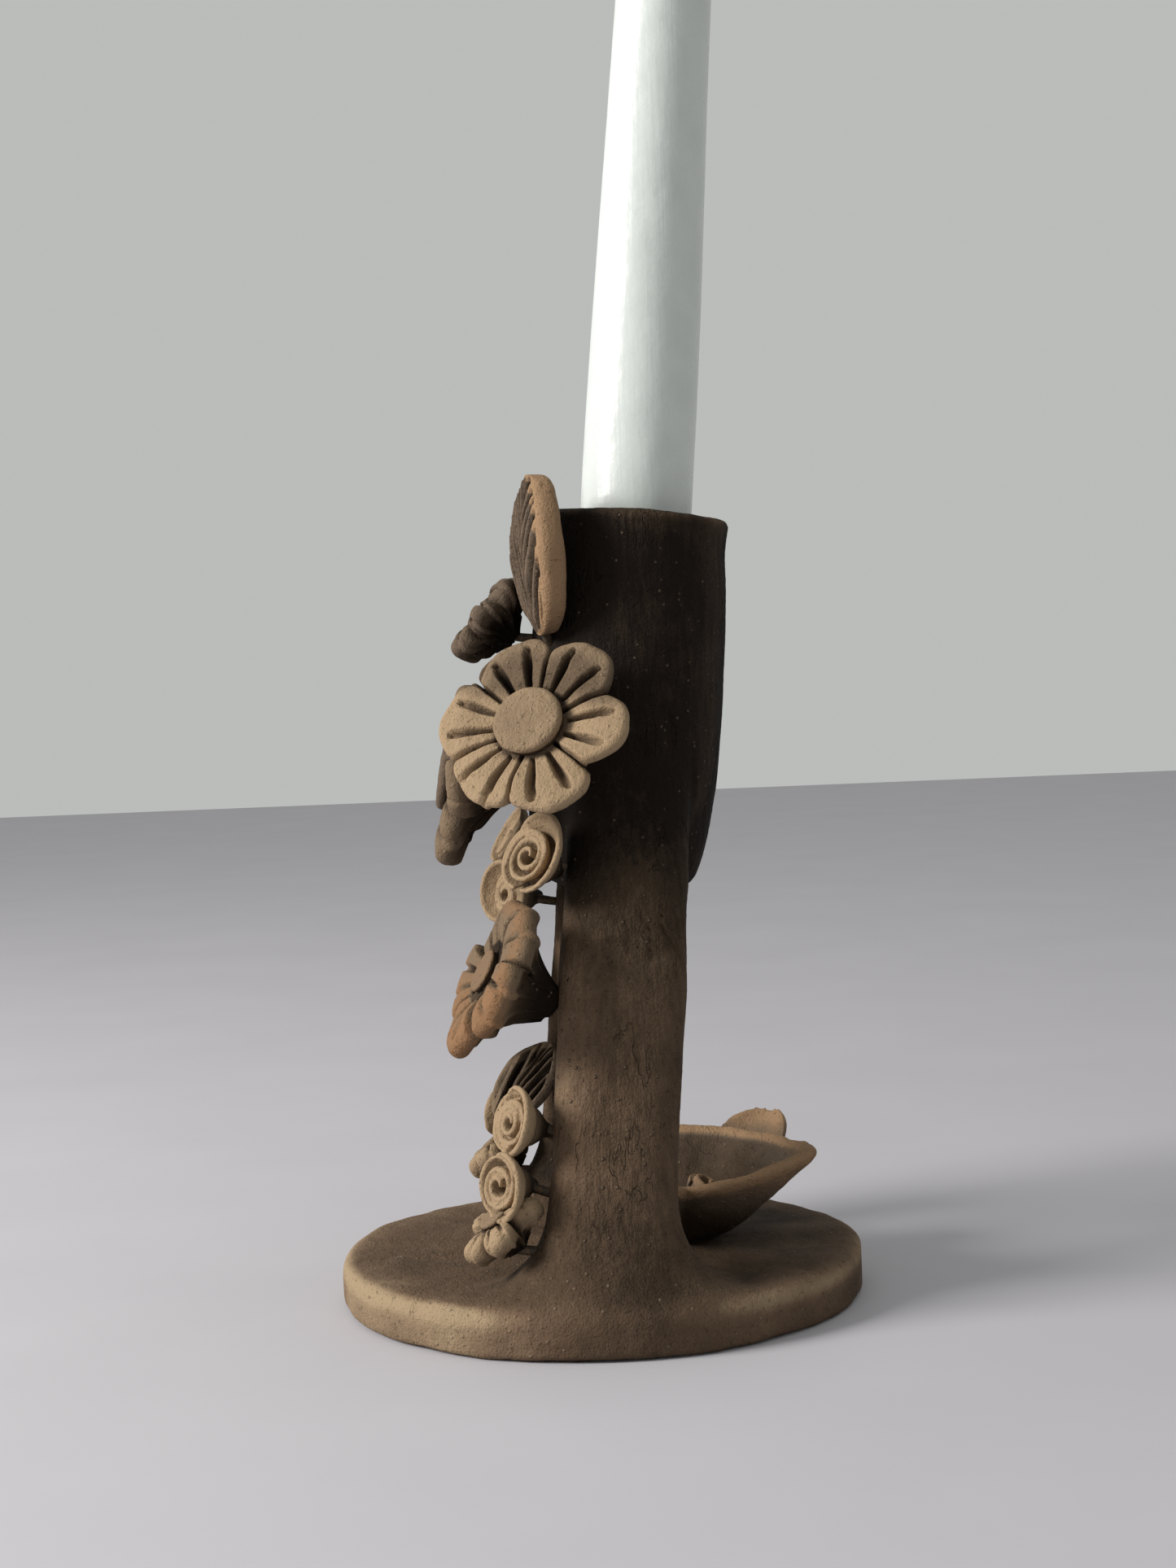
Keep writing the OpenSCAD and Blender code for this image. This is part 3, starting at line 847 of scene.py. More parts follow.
def build_candle(look):
    """A taper with a heel, a rounded tip and a bore for its wick, a little uneven above the socket."""
    heights = np.concatenate([np.linspace(0, 30, 16), np.linspace(34, CANDLE_L / MM - 6, 54)]) * MM
    radius = smooth_line(CANDLE_OUTSIDE, heights)
    profile = [(WICK_R + 0.05 * MM, 0), (CANDLE_R * 0.6, 0), (CANDLE_R - CANDLE_HEEL - 0.6 * MM, 0)]
    profile += list(zip(radius[1:], heights[1:]))
    shoulder = radius[-1]
    for angle in np.radians(np.arange(15, 91, 15)):
        profile.append((WICK_R + (shoulder - WICK_R) * math.cos(angle),
                        heights[-1] + CANDLE_DOME * math.sin(angle)))
    profile[-1] = (WICK_R + 0.05 * MM, CANDLE_L)
    rings = lathe(profile, around=96)
    count, around = rings.shape[:2]
    faces = ring_faces(count, around, closed_end=False)
    last = (count - 1) * around
    faces += [(last + j, last + (j + 1) % around, (j + 1) % around, j) for j in range(around)]
    matrix = on_socket() @ Matrix.Translation((0, 0, CANDLE_SEAT))
    piece = make_piece("candle_poured", rings.reshape(-1, 3), faces, matrix)
    points, out = points_of(piece.data), normals_of(piece.data)
    local = moved(points, matrix.inverted())
    free = ease(local[:, 2], 29 * MM, 34 * MM) * (reach_of(local) > 4 * MM)
    shift = 0.14 * MM * lumps(points, 22 * MM, 11, (1, 1, 2)) + 0.04 * MM * lumps(points, 4 * MM, 12)
    set_points(piece.data, points + out * (free * shift)[:, None])
    finished(piece, CANDLE, "candle", wax(look))


def build_wick(look):
    """Three twisted strands, with a thin tip that bends over."""
    length = CANDLE_L + WICK_OUT
    thinning, pitch = 1.5 * MM, 2.6 * MM
    heights = np.concatenate([np.linspace(0, CANDLE_L - 2 * MM, 120), np.linspace(CANDLE_L - MM, length, 40)])
    angles = circle(24)
    rings = []
    for z in heights:
        radius = WICK_R * (0.86 + 0.12 * np.cos(3 * (angles - z / pitch)))
        if z > length - thinning:
            radius = radius * (1 - 0.5 * (z - length + thinning) / thinning)
        bend = 1.1 * MM * ease(z, CANDLE_L, length) ** 1.5
        rings.append(turned(radius, angles, z) + (bend, 0, 0))
    points, faces = skin(np.array(rings))
    matrix = on_socket() @ Matrix.Translation((0, 0, CANDLE_SEAT))
    piece = make_piece("wick_plaited", points, faces, matrix)
    finished(piece, CANDLE, "wick", cotton(look))


# Flowers

# Slot, radius at the notches as a share and roundness of the lobes, then in millimetres the edge's
# thickness, cup, depth of the cuts, crown of each petal and radius of the stem, and the smoke on the face
KIND_NAMES = ("slot", "notch", "lobe", "thick", "cup", "cut", "crown", "stem", "smoke")
FLOWER_KINDS = {
    "daisy": ("buff_clay", 0.74, 0.42, 2.8, 1.3, 2.6, 0.0, 1.1, 0.05),
    "centre": ("grey_clay", 0.68, 0.55, 4.4, 1.8, 1.4, 0.5, 1.3, 0.14),
    "crown": ("grey_clay", 0.66, 0.6, 4.6, 0.9, 1.1, 1.1, 1.3, 0.45),
    "bell": ("orange_clay", 0.8, 0.4, 4.2, 1.2, 1.7, 0.1, 2.2, 0.1),
    "foot": ("buff_clay", 0.5, 0.6, 4.0, 0.6, 0.6, 0.2, 1.4, 0.22),
}


def flower_kind(kind):
    """What is said of a kind of flower, by name."""
    return dict(zip(KIND_NAMES, FLOWER_KINDS[kind]))


def petal_angles(petals, steps):
    """Angle, place within its petal from -1 to 1, and petal, closer together near the notches."""
    within = np.sin(np.linspace(-math.pi / 2, math.pi / 2, steps, endpoint=False) + math.pi / 2 / steps)
    petal = np.repeat(np.arange(petals), steps)
    offset = np.tile(within, petals)
    return (petal + offset / 2) * 2 * math.pi / petals, offset, petal


def slot_depth(along, across, radius, depth):
    """Two teardrop cuts in each petal, narrow by the button and rounded at their outer ends."""
    total = 0 * along
    for side in (-1, 1):
        t = np.clip((along / radius - 0.36) / 0.5, 0, 1)
        middle = side * radius * (0.075 + 0.115 * t)
        half = radius * (0.026 + 0.036 * t) * np.sqrt(np.clip(1 - t ** 8, 0, 1)) + 1e-9
        inside = np.clip(1 - np.abs((across - middle) / half) ** 4, 0, 1) * (t > 0) * (t < 1)
        total = total + depth * inside * ease(t, -0.1, 0.2) * (1 - 0.5 * ease(t, 0.45, 0.95))
    return total


def petal_rings(diameter, petals, back, kind, seed):
    """Rings of a flower pressed from one slab: its face, its rounded edge and its trumpet-shaped back."""
    look = flower_kind(kind)
    radius, thick, depth = diameter / 2, look["thick"] * MM, look["cut"] * MM
    angles, offset, petal = petal_angles(petals, 60)
    rng = np.random.default_rng(seed)
    reach = 1 + rng.uniform(-0.06, 0.03, petals)[petal] * np.cos(offset * math.pi / 2)
    tilt = rng.uniform(-0.1, 0.1, petals)[petal]
    rise = rng.uniform(-0.35, 0.35, petals)[petal] * MM
    lobe = look["notch"] + (1 - look["notch"]) * np.cos(offset * math.pi / 2) ** look["lobe"]
    waver = 0.012 * np.sin(7 * angles + seed) + 0.01 * np.sin(13 * angles + 2 * seed)
    edge = radius * reach * (lobe + waver) - thick / 2
    half_angle = math.pi / petals

    def face_at(share):
        """Height, and the painted shade of the face's hollows, at a share of the way out to the edge."""
        rho = share * edge
        along, across = rho * np.cos(offset * half_angle), rho * np.sin(offset * half_angle)
        outer = ease(share, 0.3, 0.8)
        height = look["cup"] * MM * (outer - 0.5) - 0.3 * MM * ease(share, 0.85, 1)
        height = height + look["crown"] * MM * (1 - offset ** 2) * outer + (2 * tilt * across + rise) * outer
        cut = slot_depth(along, across, radius, depth)
        to_notch = rho * (1 - np.abs(offset)) * half_angle
        crease = peak(to_notch, 0, 0.34 * MM) * ease(share, 0.2, 0.5)
        around_button = 1 - ease(rho, 0.185 * diameter, 0.215 * diameter)
        # Painted shade in the cuts, in the creases between petals and in the ring round the button
        hollow = np.clip(cut / depth, 0, 1) * 0.9 + crease * 0.8 + around_button * 0.9
        return height - cut - 1.7 * MM * crease, hollow

    # Rows of radius, height, painted shade of the hollows, smoke with painted shade, and wear: out over the
    # face, round the edge, back to the stem
    smoke, rows = look["smoke"], []
    for share in np.concatenate([[0.03, 0.15], np.linspace(0.3, 1, 40)]):
        rows.append((share * edge, *face_at(share), smoke, 0.6 * ease(share, 0.8, 1)))
    brink = rows[-1][1]
    seam = peak(edge * (1 - np.abs(offset)) * half_angle, 0, 0.36 * MM)
    # Round the edge: painted shade in the notches and on the edge's underside
    for turn in np.radians(np.arange(65, -66, -13)):
        rho = edge + thick / 2 * math.cos(turn) * (1 - 0.25 * seam)
        high = math.sin(turn)
        z = brink - thick / 2 + thick / 2 * high
        rows.append((rho, z, seam * 0.7, smoke + 0.05 * (1 - high), 0.6 * max(high + 0.3, 0)))
    lowest = -PETAL_T - back - (look["stem"] - 1.1) * MM
    stem = look["stem"] * MM
    # The back darkens towards the stem with painted shade, as it faces away from the light, and its notches'
    # seams carry painted shade
    for share in np.linspace(0.97, 0.0, 22)[:-1]:
        lobed = ease(share, 0.55, 1.0)
        rho = stem + (edge * lobed + (0.2 * edge + 0.8 * edge.mean()) * (1 - lobed) - stem) * share
        floor = (brink - thick) * share + lowest * (1 - share)
        sag = (brink - thick) * (1 - (1 - share) ** 2.1) + lowest * (1 - share) ** 2.1
        z = np.minimum(sag, 0.25 * floor + 0.75 * sag)
        soot_and_shade = smoke + 0.12 + 0.8 * (1 - share) ** 0.8
        rows.append((rho * (1 - 0.09 * seam * share * lobed), z, seam * 0.7 * share * lobed, soot_and_shade, 0))
    rho, z, *marks = np.array([np.broadcast_arrays(*row, angles)[:5] for row in rows]).transpose(1, 0, 2)
    marks = {name: np.append(values.ravel(), (values[0, 0], values[-1, 0]))
             for name, values in zip(("hollow", "smoke", "wear"), marks)}
    return turned(rho, angles, z), marks


def darker_above(points, marks, kind, spin):
    """Adds the smoke that settled on the upper petals of a daisy and the inner petals of a bellflower."""
    upwards = points[:, 0] * math.sin(math.radians(spin)) + points[:, 1] * math.cos(math.radians(spin))
    if kind == "daisy":
        marks["smoke"] += 0.5 * ease(upwards, 2.5 * MM, 8 * MM)
    if kind == "bell":
        marks["smoke"] += 0.26 * ease(upwards, -7 * MM, 5 * MM)


def flower_place(row, spin=0):
    """Where a flower sits, the foot flowers a little larger and higher than their plain shapes."""
    _, side, share, across, out, turn, rise, _, _, _, kind = row
    place = face_out(side, spot(share, across, out), turn, rise, spin)
    if kind == "foot":
        place = Matrix.Translation((0, 0, FOOT_FLOWER_UP)) @ place @ Matrix.Scale(FOOT_FLOWER_SCALE, 4)
    return place


def build_petals(row, number):
    """A slotted flower's slab."""
    name, diameter, petals, back, kind = row[0], *row[7:]
    spin = 90 - 180 / petals
    rings, marks = petal_rings(diameter, petals, back * MM, kind, 40 + number)
    points, faces = skin(rings)
    darker_above(points, marks, kind, spin)
    piece = make_piece(name + "_petals_fired", points, faces, flower_place(row, spin), marks)
    roughen(piece, (5 * MM, 0.3 * MM, number), (1.6 * MM, 0.07 * MM, number + 30))
    fired(piece, name + "_petals", flower_kind(kind)["slot"])


def build_button(row, number):
    """The button in the middle of a slotted flower."""
    name, diameter, kind = row[0], row[7], row[10]
    radius = (0.13 if kind == "bell" else 0.18) * diameter
    thick = (0.03 if kind == "bell" else 0.065) * diameter
    round_by = 0.45 * thick
    profile = [(0.02 * MM, -1.2 * MM), (radius * 0.7, -1.2 * MM), (radius * 0.93, -1.0 * MM)]
    for angle in np.radians(np.arange(-60, 91, 15)):
        profile.append((radius - round_by * (1 - math.cos(angle)), thick * 0.5 + round_by * math.sin(angle)))
    profile += [(radius * s, thick * (0.95 + 0.12 * (1 - s))) for s in (0.75, 0.6, 0.45, 0.3, 0.15, 0.01)]
    points, faces = skin(lathe(profile, around=64))
    # The button's foot, where it meets the face, gets painted shade
    low = 1 - ease(points[:, 2], 0, 0.5 * thick)
    marks = {"smoke": 0.3 if kind in ("daisy", "bell") else 0.36, "hollow": 0.7 * low, "wear": 0.2}
    piece = make_piece(name + "_button_fired", points, faces, flower_place(row), marks)
    roughen(piece, (3.5 * MM, 0.22 * MM, number + 60), (1 * MM, 0.05 * MM, number + 61))
    fired(piece, name + "_button", flower_kind(kind)["slot"])


# Roses and the bud

def wall_loop(angle, rim_r, rim_z, foot_r, foot_z, half):
    """One section of an upright clay strip: a rounded rim, and two sides that slant in to the foot."""
    section = np.radians(np.arange(0, 180.1, 30))
    low = np.linspace(0.12, 1, 7)
    slant = rim_r + (foot_r - rim_r) * low ** 1.3
    down = rim_z - half - (rim_z - half - foot_z) * low
    x = np.concatenate([rim_r + half * np.cos(section), slant - half, (slant + half)[::-1]])
    z = np.concatenate([rim_z - half + half * np.sin(section), down, down[::-1]])
    return np.stack([x * math.cos(angle), x * math.sin(angle), z], -1)


def rolled_strip(turns, radius, inner, depth, strip, rng, rise=0.6 * MM):
    """A strip of clay rolled up from the middle, its rim opening outwards, as one closed shell."""
    t = np.linspace(0, turns, int(turns * 40) + 1)
    share = t / turns
    first, second, third = rng.uniform(0, 6, 3)
    waver = 1 + 0.05 * np.sin(4 * t + first) + 0.03 * np.sin(9 * t + second)
    rim_r = (inner + (radius - inner) * share) * waver
    rim_z = rise * (0.4 - share) + 0.4 * MM * np.sin(3.3 * t + third) * share
    foot_r = rim_r * (0.75 - 0.25 * share)
    taper = np.minimum(1, 0.35 + 7 * np.minimum(share, 1 - share))
    half = strip / 2 * taper * (0.85 + 0.25 * np.sin(2.2 * t + first) ** 2)
    loops = [wall_loop(2 * math.pi * t[i], rim_r[i], rim_z[i], foot_r[i], -depth, half[i])
             for i in range(len(t))]
    return skin(np.array(loops))


def outer_petal(middle, span, radius, flare, rise, depth, strip):
    """A petal wrapped round part of a rose, its rim standing up and folding out at its middle."""
    loops = []
    for s in np.linspace(-1, 1, 41):
        swell = math.cos(s * math.pi / 2)
        rim_r = radius * (1 + flare * swell)
        rim_z = rise * swell ** 0.7 - 0.4 * MM
        half = strip / 2 * (0.3 + 0.7 * swell ** 0.4)
        angle = math.radians(middle + span / 2 * s)
        loops.append(wall_loop(angle, rim_r, rim_z, radius * 0.52, -depth, half))
    return skin(np.array(loops))


def rose_shells(size, flare, seed):
    """A rolled strip in two outer petals, on a pinched cup with a short stalk, its rim at about 0."""
    rng = np.random.default_rng(seed)
    radius, depth = ROSE_D / 2 * size, ROSE_DEPTH * 0.62
    turns = 2.3 + 0.25 * (seed % 3)
    strip = rolled_strip(turns, radius * 0.94, 1.0 * MM, depth, 1.2 * MM, rng)
    wrap = outer_petal(rng.uniform(-5, 25), 215, radius * 1.06, flare, 1.7 * MM, depth, 1.3 * MM)
    second = outer_petal(rng.uniform(150, 200), 150, radius * 1.02, 0.06, -0.2 * MM, depth, 1.2 * MM)
    stalk = ((0.02 * MM, -ROSE_DEPTH - 2.3 * MM), (0.24 * radius, -ROSE_DEPTH - 2.2 * MM),
             (0.32 * radius, -ROSE_DEPTH - 1.0 * MM), (0.44 * radius, -depth - 2.8 * MM))
    cup = ((0.62 * radius, -depth - 1.4 * MM), (0.74 * radius, 0.1 * MM - depth),
           (0.7 * radius, 0.9 * MM - depth), (0.5 * radius, 1.1 * MM - depth), (0.02 * MM, 1.2 * MM - depth))
    return [strip, wrap, second, skin(lathe(stalk + cup, around=40))]


def build_rose(row, number):
    """A rolled rose."""
    name, side, share, across, out, turn, rise, size = row
    flare = 0.42 if number == 0 else 0.3
    points, faces = fused(*joined(rose_shells(size * 0.94, flare, 70 + number)), ROSE_GRAIN)
    points = softened(points, faces, 2)
    h = points[:, 2]
    # Painted shade deep in the middle and on the back below the rim; the rims are paler with wear
    inside = 1 - ease(reach_of(points), ROSE_D / 2 * size * 0.8, ROSE_D / 2 * size)
    behind = 1 - ease(h, -ROSE_DEPTH, -3 * MM)
    marks = {
        "smoke": 0.06 + 0.45 * behind,
        "hollow": 0.6 * inside * (1 - ease(h, -3 * MM, -1.2 * MM)),
        "wear": ease(h, -1.6 * MM, -0.2 * MM) * 0.8,
    }
    matrix = face_out(side, spot(share, across, out), turn - ROSE_TURNED_BACK, rise)
    piece = make_piece(name + "_bloom_fired", points, faces, matrix, marks)
    roughen(piece, (2.5 * MM, 0.12 * MM, number + 90), (0.8 * MM, 0.04 * MM, number + 91))
    fired(piece, name + "_bloom", "buff_clay")


# Leaves

def leaf_grooves(x, y, half, size):
    """Depth of a leaf's middle vein and slanted cuts: long and fine on one half, short on the other."""
    depth = 0.9 * MM * peak(x, 0, 0.4 * MM)
    steep, broad = ((17, 30) if size == 1 else (7, 10))
    for side, angle, spacing, width, deep in ((-1, steep, 1.5, 0.42, 1.7), (1, broad, 2.6, 0.34, 1.7)):
        a = math.radians(angle)
        line = (y * math.sin(a) - np.abs(x) * math.cos(a)) / (spacing * MM)
        line = line + 0.22 * np.sin(1.7 * line) + 0.08 * np.sin(5 * line)
        near = np.abs(line - np.round(line))
        cut = np.clip(1 - near / width, 0, 1) ** 1.1
        brim = half + (2 if side < 0 else -0.3) * MM
        ends = ease(np.abs(x), 0.3 * MM, 1.2 * MM) * (1 - ease(np.abs(x), brim - 1 * MM, brim))
        depth = np.maximum(depth, deep * MM * cut * ends * (x * side > 0))
    return depth


def leaf_rings(size):
    """Sections across a leaf from its stalk to its tip, with a thick rounded edge and a cut face."""
    length, width, thick = LEAF_L * size, LEAF_W * size, LEAF_T * (0.5 + 0.5 * size)
    stations = (1 - np.cos(np.linspace(0.06, math.pi - 0.06, 120))) / 2
    spread = np.linspace(-1, 1, 88)
    arc = np.radians(np.arange(78, -1, -13))
    rings, recess_shades, edges = [], [], []
    for u in stations:
        half = width / 2 * math.sin(math.pi * u) ** 0.52
        y = length * (u - 0.5)
        full = math.sin(math.pi * u) ** 0.2
        corner = min(2.1 * MM * (0.5 + 0.5 * size), 0.45 * half) * full
        left_t, right_t = 0.72 * thick * full, 1.1 * thick * full
        x = (half - corner) * spread
        bend = (0.4 + 1.9 * size ** 3) * MM * (1 - (2 * u - 1) ** 2) - thick * 0.25
        groove = leaf_grooves(x, y, half, size) * full
        top = bend + 0.5 * MM * (1 - (x / half) ** 2) - groove
        under = bend - (left_t + (right_t - left_t) * (spread + 1) / 2)
        rim_x, rim_z = half - corner + corner * np.cos(arc), corner * np.sin(arc)
        brow, low_right, low_left = bend - corner, bend - right_t + corner, bend - left_t + corner
        ring_x = np.concatenate([x, rim_x, rim_x[::-1], x[::-1], -rim_x, -rim_x[::-1]])
        ring_z = np.concatenate([top, brow + rim_z, low_right - rim_z[::-1], under[::-1],
                                 low_left - rim_z, brow + rim_z[::-1]])
        rings.append(np.stack([ring_x, np.full_like(ring_x, y), ring_z], -1))
        others, rim = len(ring_x) - len(x), 2 * len(arc)
        # The grooves' depth sets their painted shade
        recess_shades.append(np.concatenate([groove / (1.2 * MM), np.zeros(others)]))
        edges.append(np.concatenate([ease(x, half - 3.2 * MM, half - 2.6 * MM), np.ones(rim),
                                     np.full(others - 2 * rim, 0.5), np.full(rim, 0.1)]))
    hollow = np.append(np.concatenate(recess_shades), (0, 0))
    edge = np.append(np.concatenate(edges), (1, 1))
    return np.array(rings), hollow, edge


def build_blade(row, number):
    """A leaf's grooved blade."""
    name, side, share, across, out, turn, rise, spin, size, slot = row
    rings, hollow, edge = leaf_rings(size)
    points, faces = skin(rings)
    # The face is smokier than the edges, and the grooves get painted shade
    smoke = 0.4 - 0.34 * edge + (0.06 if size < 1 else 0)
    marks = {"smoke": smoke, "hollow": 0.9 * hollow, "wear": 0.5 * edge}
    matrix = face_out(side, spot(share, across, out), turn, rise, spin)
    if size == 1:
        matrix = matrix @ Matrix.Rotation(math.radians(LEAF_TIPPED), 4, "X")
    else:
        matrix = Matrix.Translation(LOW_LEAF_SHIFT) @ matrix
    piece = make_piece(name + "_blade_fired", points, faces, matrix, marks)
    roughen(piece, (5 * MM, 0.35 * MM, number + 120), (1.4 * MM, 0.06 * MM, number + 121))
    fired(piece, name + "_blade", slot)


# Lily

def lily_rim(angles):
    """Distance out and height of the cup's rim at angles."""
    key_angle, key_r, key_h = np.array(LILY_RIM, float).T
    turn = np.degrees(angles)
    return [np.interp(turn, key_angle, key, period=360) * MM for key in (key_r, key_h)]


def lily_cup_rings():
    """The lily's cup: its inside, its thick wavy rim with a point at each petal, and its outside."""
    angles = circle(260)
    rim_r, rim_h = lily_rim(angles)
    floor, foot_low = 3.4 * MM, -0.2 * MM
    rings = []
    for v in np.concatenate([[0.02], np.linspace(0.12, 0.98, 30)]):
        rings.append((rim_r * v - LILY_WALL * 0.3 * v, floor + (rim_h - floor) * v ** 1.5))
    for turn in np.radians((60, 20, -20, -60)):
        out, drop = LILY_WALL * 0.5 * math.cos(turn), LILY_WALL * 0.5 * (1 - math.sin(turn))
        rings.append((rim_r + out, rim_h - drop))
    for v in np.linspace(0.97, 0.12, 26):
        foot = 4.2 * MM * (1 - v) ** 2
        rings.append((rim_r * v + LILY_WALL * 0.3 * v + foot, (rim_h - LILY_WALL) * v ** 1.6))
    rings += [(5.5 * MM, foot_low), (2.0 * MM, foot_low)]
    return np.array([turned(r, angles, z) for r, z in rings])


def lily_petal_rings(angle, reach, height, width):
    """One loose petal behind the cup, cupped along its length, with a blunt tip."""
    up = np.array((0, 0, 1.0))
    way = np.array((math.cos(math.radians(angle)), math.sin(math.radians(angle)), 0))
    side = np.array((-way[1], way[0], 0))
    spread = np.linspace(-1, 1, 30)[:, None]
    rings = []
    for u in 0.1 + 0.9 * np.sin(np.linspace(0, math.pi / 2, 60)):
        swell = 0.35 + 0.65 * math.sin(math.pi * min(u / 1.25, 1)) ** 0.8
        half = width / 2 * swell * (1 - u ** 7) ** 0.5 + 0.6 * MM
        middle = way * reach * u + up * (2.5 * MM + (height - 4.5 * MM) * u ** 1.4)
        lift = (2.2 * MM * u * spread ** 2) * up - (1.2 * MM * spread ** 2) * way
        face = middle + half * spread * side + lift
        thin = 1.2 * LILY_WALL * np.sqrt(1 - 0.5 * spread ** 2) * (up - 0.6 * way)
        rings.append(np.concatenate([face, (face - thin)[::-1]]))
    return np.array(rings)


def build_lily():
    """The lily's cup with its loose petal."""
    shells = [skin(lily_cup_rings()), skin(lily_petal_rings(135, 31 * MM, 23.5 * MM, 19 * MM))]
    points, faces = fused(*joined(shells), LILY_GRAIN)
    points = softened(points, faces, 4)
    crest = ease(points[:, 2], 19 * MM, 21.5 * MM) * ease(points[:, 1], 8 * MM, 12 * MM)
    points = softened(points, faces, 40, crest * ease(-points[:, 0], 8 * MM, 12 * MM))
    x, y, h = points.T
    piece = make_piece("lily_cup_fired", points, faces, Matrix.Translation((0, LILY_BACK, BASE_T - 0.2 * MM)))
    inside = ease(normals_of(piece.data)[:, 2], -0.1, 0.4)

    # The rims of the cup and of its loose petal are pale and worn, and the cup darkens inwards and below with
    # painted shade in its hollow and under it
    reach = reach_of(points)
    rim_r, rim_h = lily_rim(np.arctan2(y, x))
    on_rim = 1 - ease(np.hypot(reach - rim_r, h - rim_h), 1.6 * MM, 3.4 * MM)
    loose = ease(y, 8 * MM, 16 * MM) * ease(-x, 12 * MM, 17 * MM) * ease(h, 17 * MM, 21 * MM)
    on_rim = np.maximum(on_rim, loose)
    tips = ease(reach, 12 * MM, 27 * MM)
    inner = 0.72 - 0.42 * tips
    outer = 0.5 + 0.35 * (1 - ease(h, 2 * MM, 14 * MM)) - 0.3 * tips
    smoke = (inside * inner + (1 - inside) * outer) * (1 - on_rim) + 0.14 * on_rim
    set_marks(piece.data, {"smoke": smoke, "wear": on_rim * (0.3 + 0.4 * tips)})
    roughen(piece, (8 * MM, 0.5 * MM, 150), (2 * MM, 0.1 * MM, 151))
    fired(piece, "lily_cup", "tan_clay")


def build_bud():
    """The small rolled bud that stands in the cup."""
    rng = np.random.default_rng(9)
    strip = rolled_strip(1.8, 3.6 * MM, 0.8 * MM, 6 * MM, 1.2 * MM, rng, rise=2.2 * MM)
    core = ((0.02 * MM, -8.3 * MM), (2.3 * MM, -8.2 * MM), (2.6 * MM, -5 * MM), (0.02 * MM, -4 * MM))
    points, faces = fused(*joined([strip, skin(lathe(core, around=32))]), ROSE_GRAIN)
    points = softened(points, faces, 2)
    deep = 1 - ease(points[:, 2], -4 * MM, -0.5 * MM)
    marks = {"smoke": 0.3 + 0.3 * deep, "hollow": 0.0, "wear": 0.5 * (1 - deep)}
    leaning = Matrix.Rotation(math.radians(BUD_LEAN), 4, Vector((1, -0.35, 0)))
    piece = make_piece("lily_bud_fired", points, faces, Matrix.Translation(BUD_PLACE) @ leaning, marks)
    fired(piece, "lily_bud", "tan_clay")


# Wires

def wire_ends():
    """Every wire's name, side, outer end and inner end, in the tree's frame."""
    for name, side, share, across, out, turn, rise, _, _, back, _ in FLOWERS:
        p = spot(share, across, out)
        start = p - (PETAL_T + back * MM - BURY / 2) * facing(turn, rise)
        yield name, side, start, anchor(p.x, p.z - back * MM / 2 - 2 * MM)
    for name, side, share, across, out, turn, rise, _ in ROSES:
        p = spot(share, across, out)
        yield name, side, p - (ROSE_DEPTH - MM) * facing(turn, rise), anchor(p.x, p.z - 2 * MM)
    for name, side, share, across, out, turn, rise, spin, size, _ in LEAVES:
        p = spot(share, across, out)
        turn_r, spin_r = math.radians(turn), math.radians(spin)
        sideways = Vector((math.cos(turn_r), math.sin(turn_r), 0))
        down = math.sin(spin_r) * sideways - math.cos(spin_r) * facing(turn, rise + 90)
        start = p + (LEAF_L * size / 2 - BURY) * down - LEAF_T / 2 * facing(turn, rise)
        yield name, side, start, anchor(p.x, p.z - LEAF_L * size / 2 - 4 * MM)


def build_wire(name, side, start, end, number):
    """A wire with the small bends that pliers leave."""
    way = (end - start).normalized()
    across = way.cross(Vector((0, 0, 1)) if abs(way.z) < 0.9 else Vector((1, 0, 0))).normalized()
    up = across.cross(way)
    length = (end - start).length
    rng = np.random.default_rng(200 + number)
    bow, twist = rng.uniform(-0.6, 0.6, 2) * MM
    angles = circle(16)
    rings = []
    for t in np.linspace(0, 1, 15):
        bend = math.sin(math.pi * t)
        middle = start + way * (length * t) + across * (bow * bend) + up * (twist * bend * math.cos(2.5 * t))
        radius = WIRE_R * (1 + 0.03 * math.sin(9 * t + number))
        rings.append([middle + across * (radius * math.cos(a)) + up * (radius * math.sin(a)) for a in angles])
    points, faces = skin(np.array(rings))
    piece = make_piece(name + "_wire_bent", points, faces, on_tree(side))
    finished(piece, HOLDER, name + "_wire", bpy.data.materials["fired wire"])


# Stage

PAPER_COLOURS = ((0.47, 0.455, 0.485), (0.52, 0.505, 0.535))
# The window shines from here on the middle of the tree
WINDOW_WAY = (0.26, -0.88, 0.42)
WINDOW_DISTANCE = 1.1
WINDOW_SIZE = 0.45
WINDOW_COLOUR = (1.0, 0.98, 0.95)
TREE_MIDDLE = (0, 0, 0.1)


def paper():
    """Pale paper with faint clouds."""
    finish = Finish("pale paper")
    colour = finish.mix(finish.cloud(60 * MM, 4.0), *(rgba(c) for c in PAPER_COLOURS))
    finish.feed(finish.surface.inputs["Base Color"], colour)
    finish.surface.inputs["Roughness"].default_value = 0.85
    return finish.material


def build_floor(size):
    """A plain table top."""
    bm = bmesh.new()
    bmesh.ops.create_grid(bm, x_segments=4, y_segments=4, size=size)
    mesh = bpy.data.meshes.new("floor")
    bm.to_mesh(mesh)
    bm.free()
    floor = bpy.data.objects.new("floor", mesh)
    bpy.context.scene.collection.objects.link(floor)
    mesh.materials.append(paper())


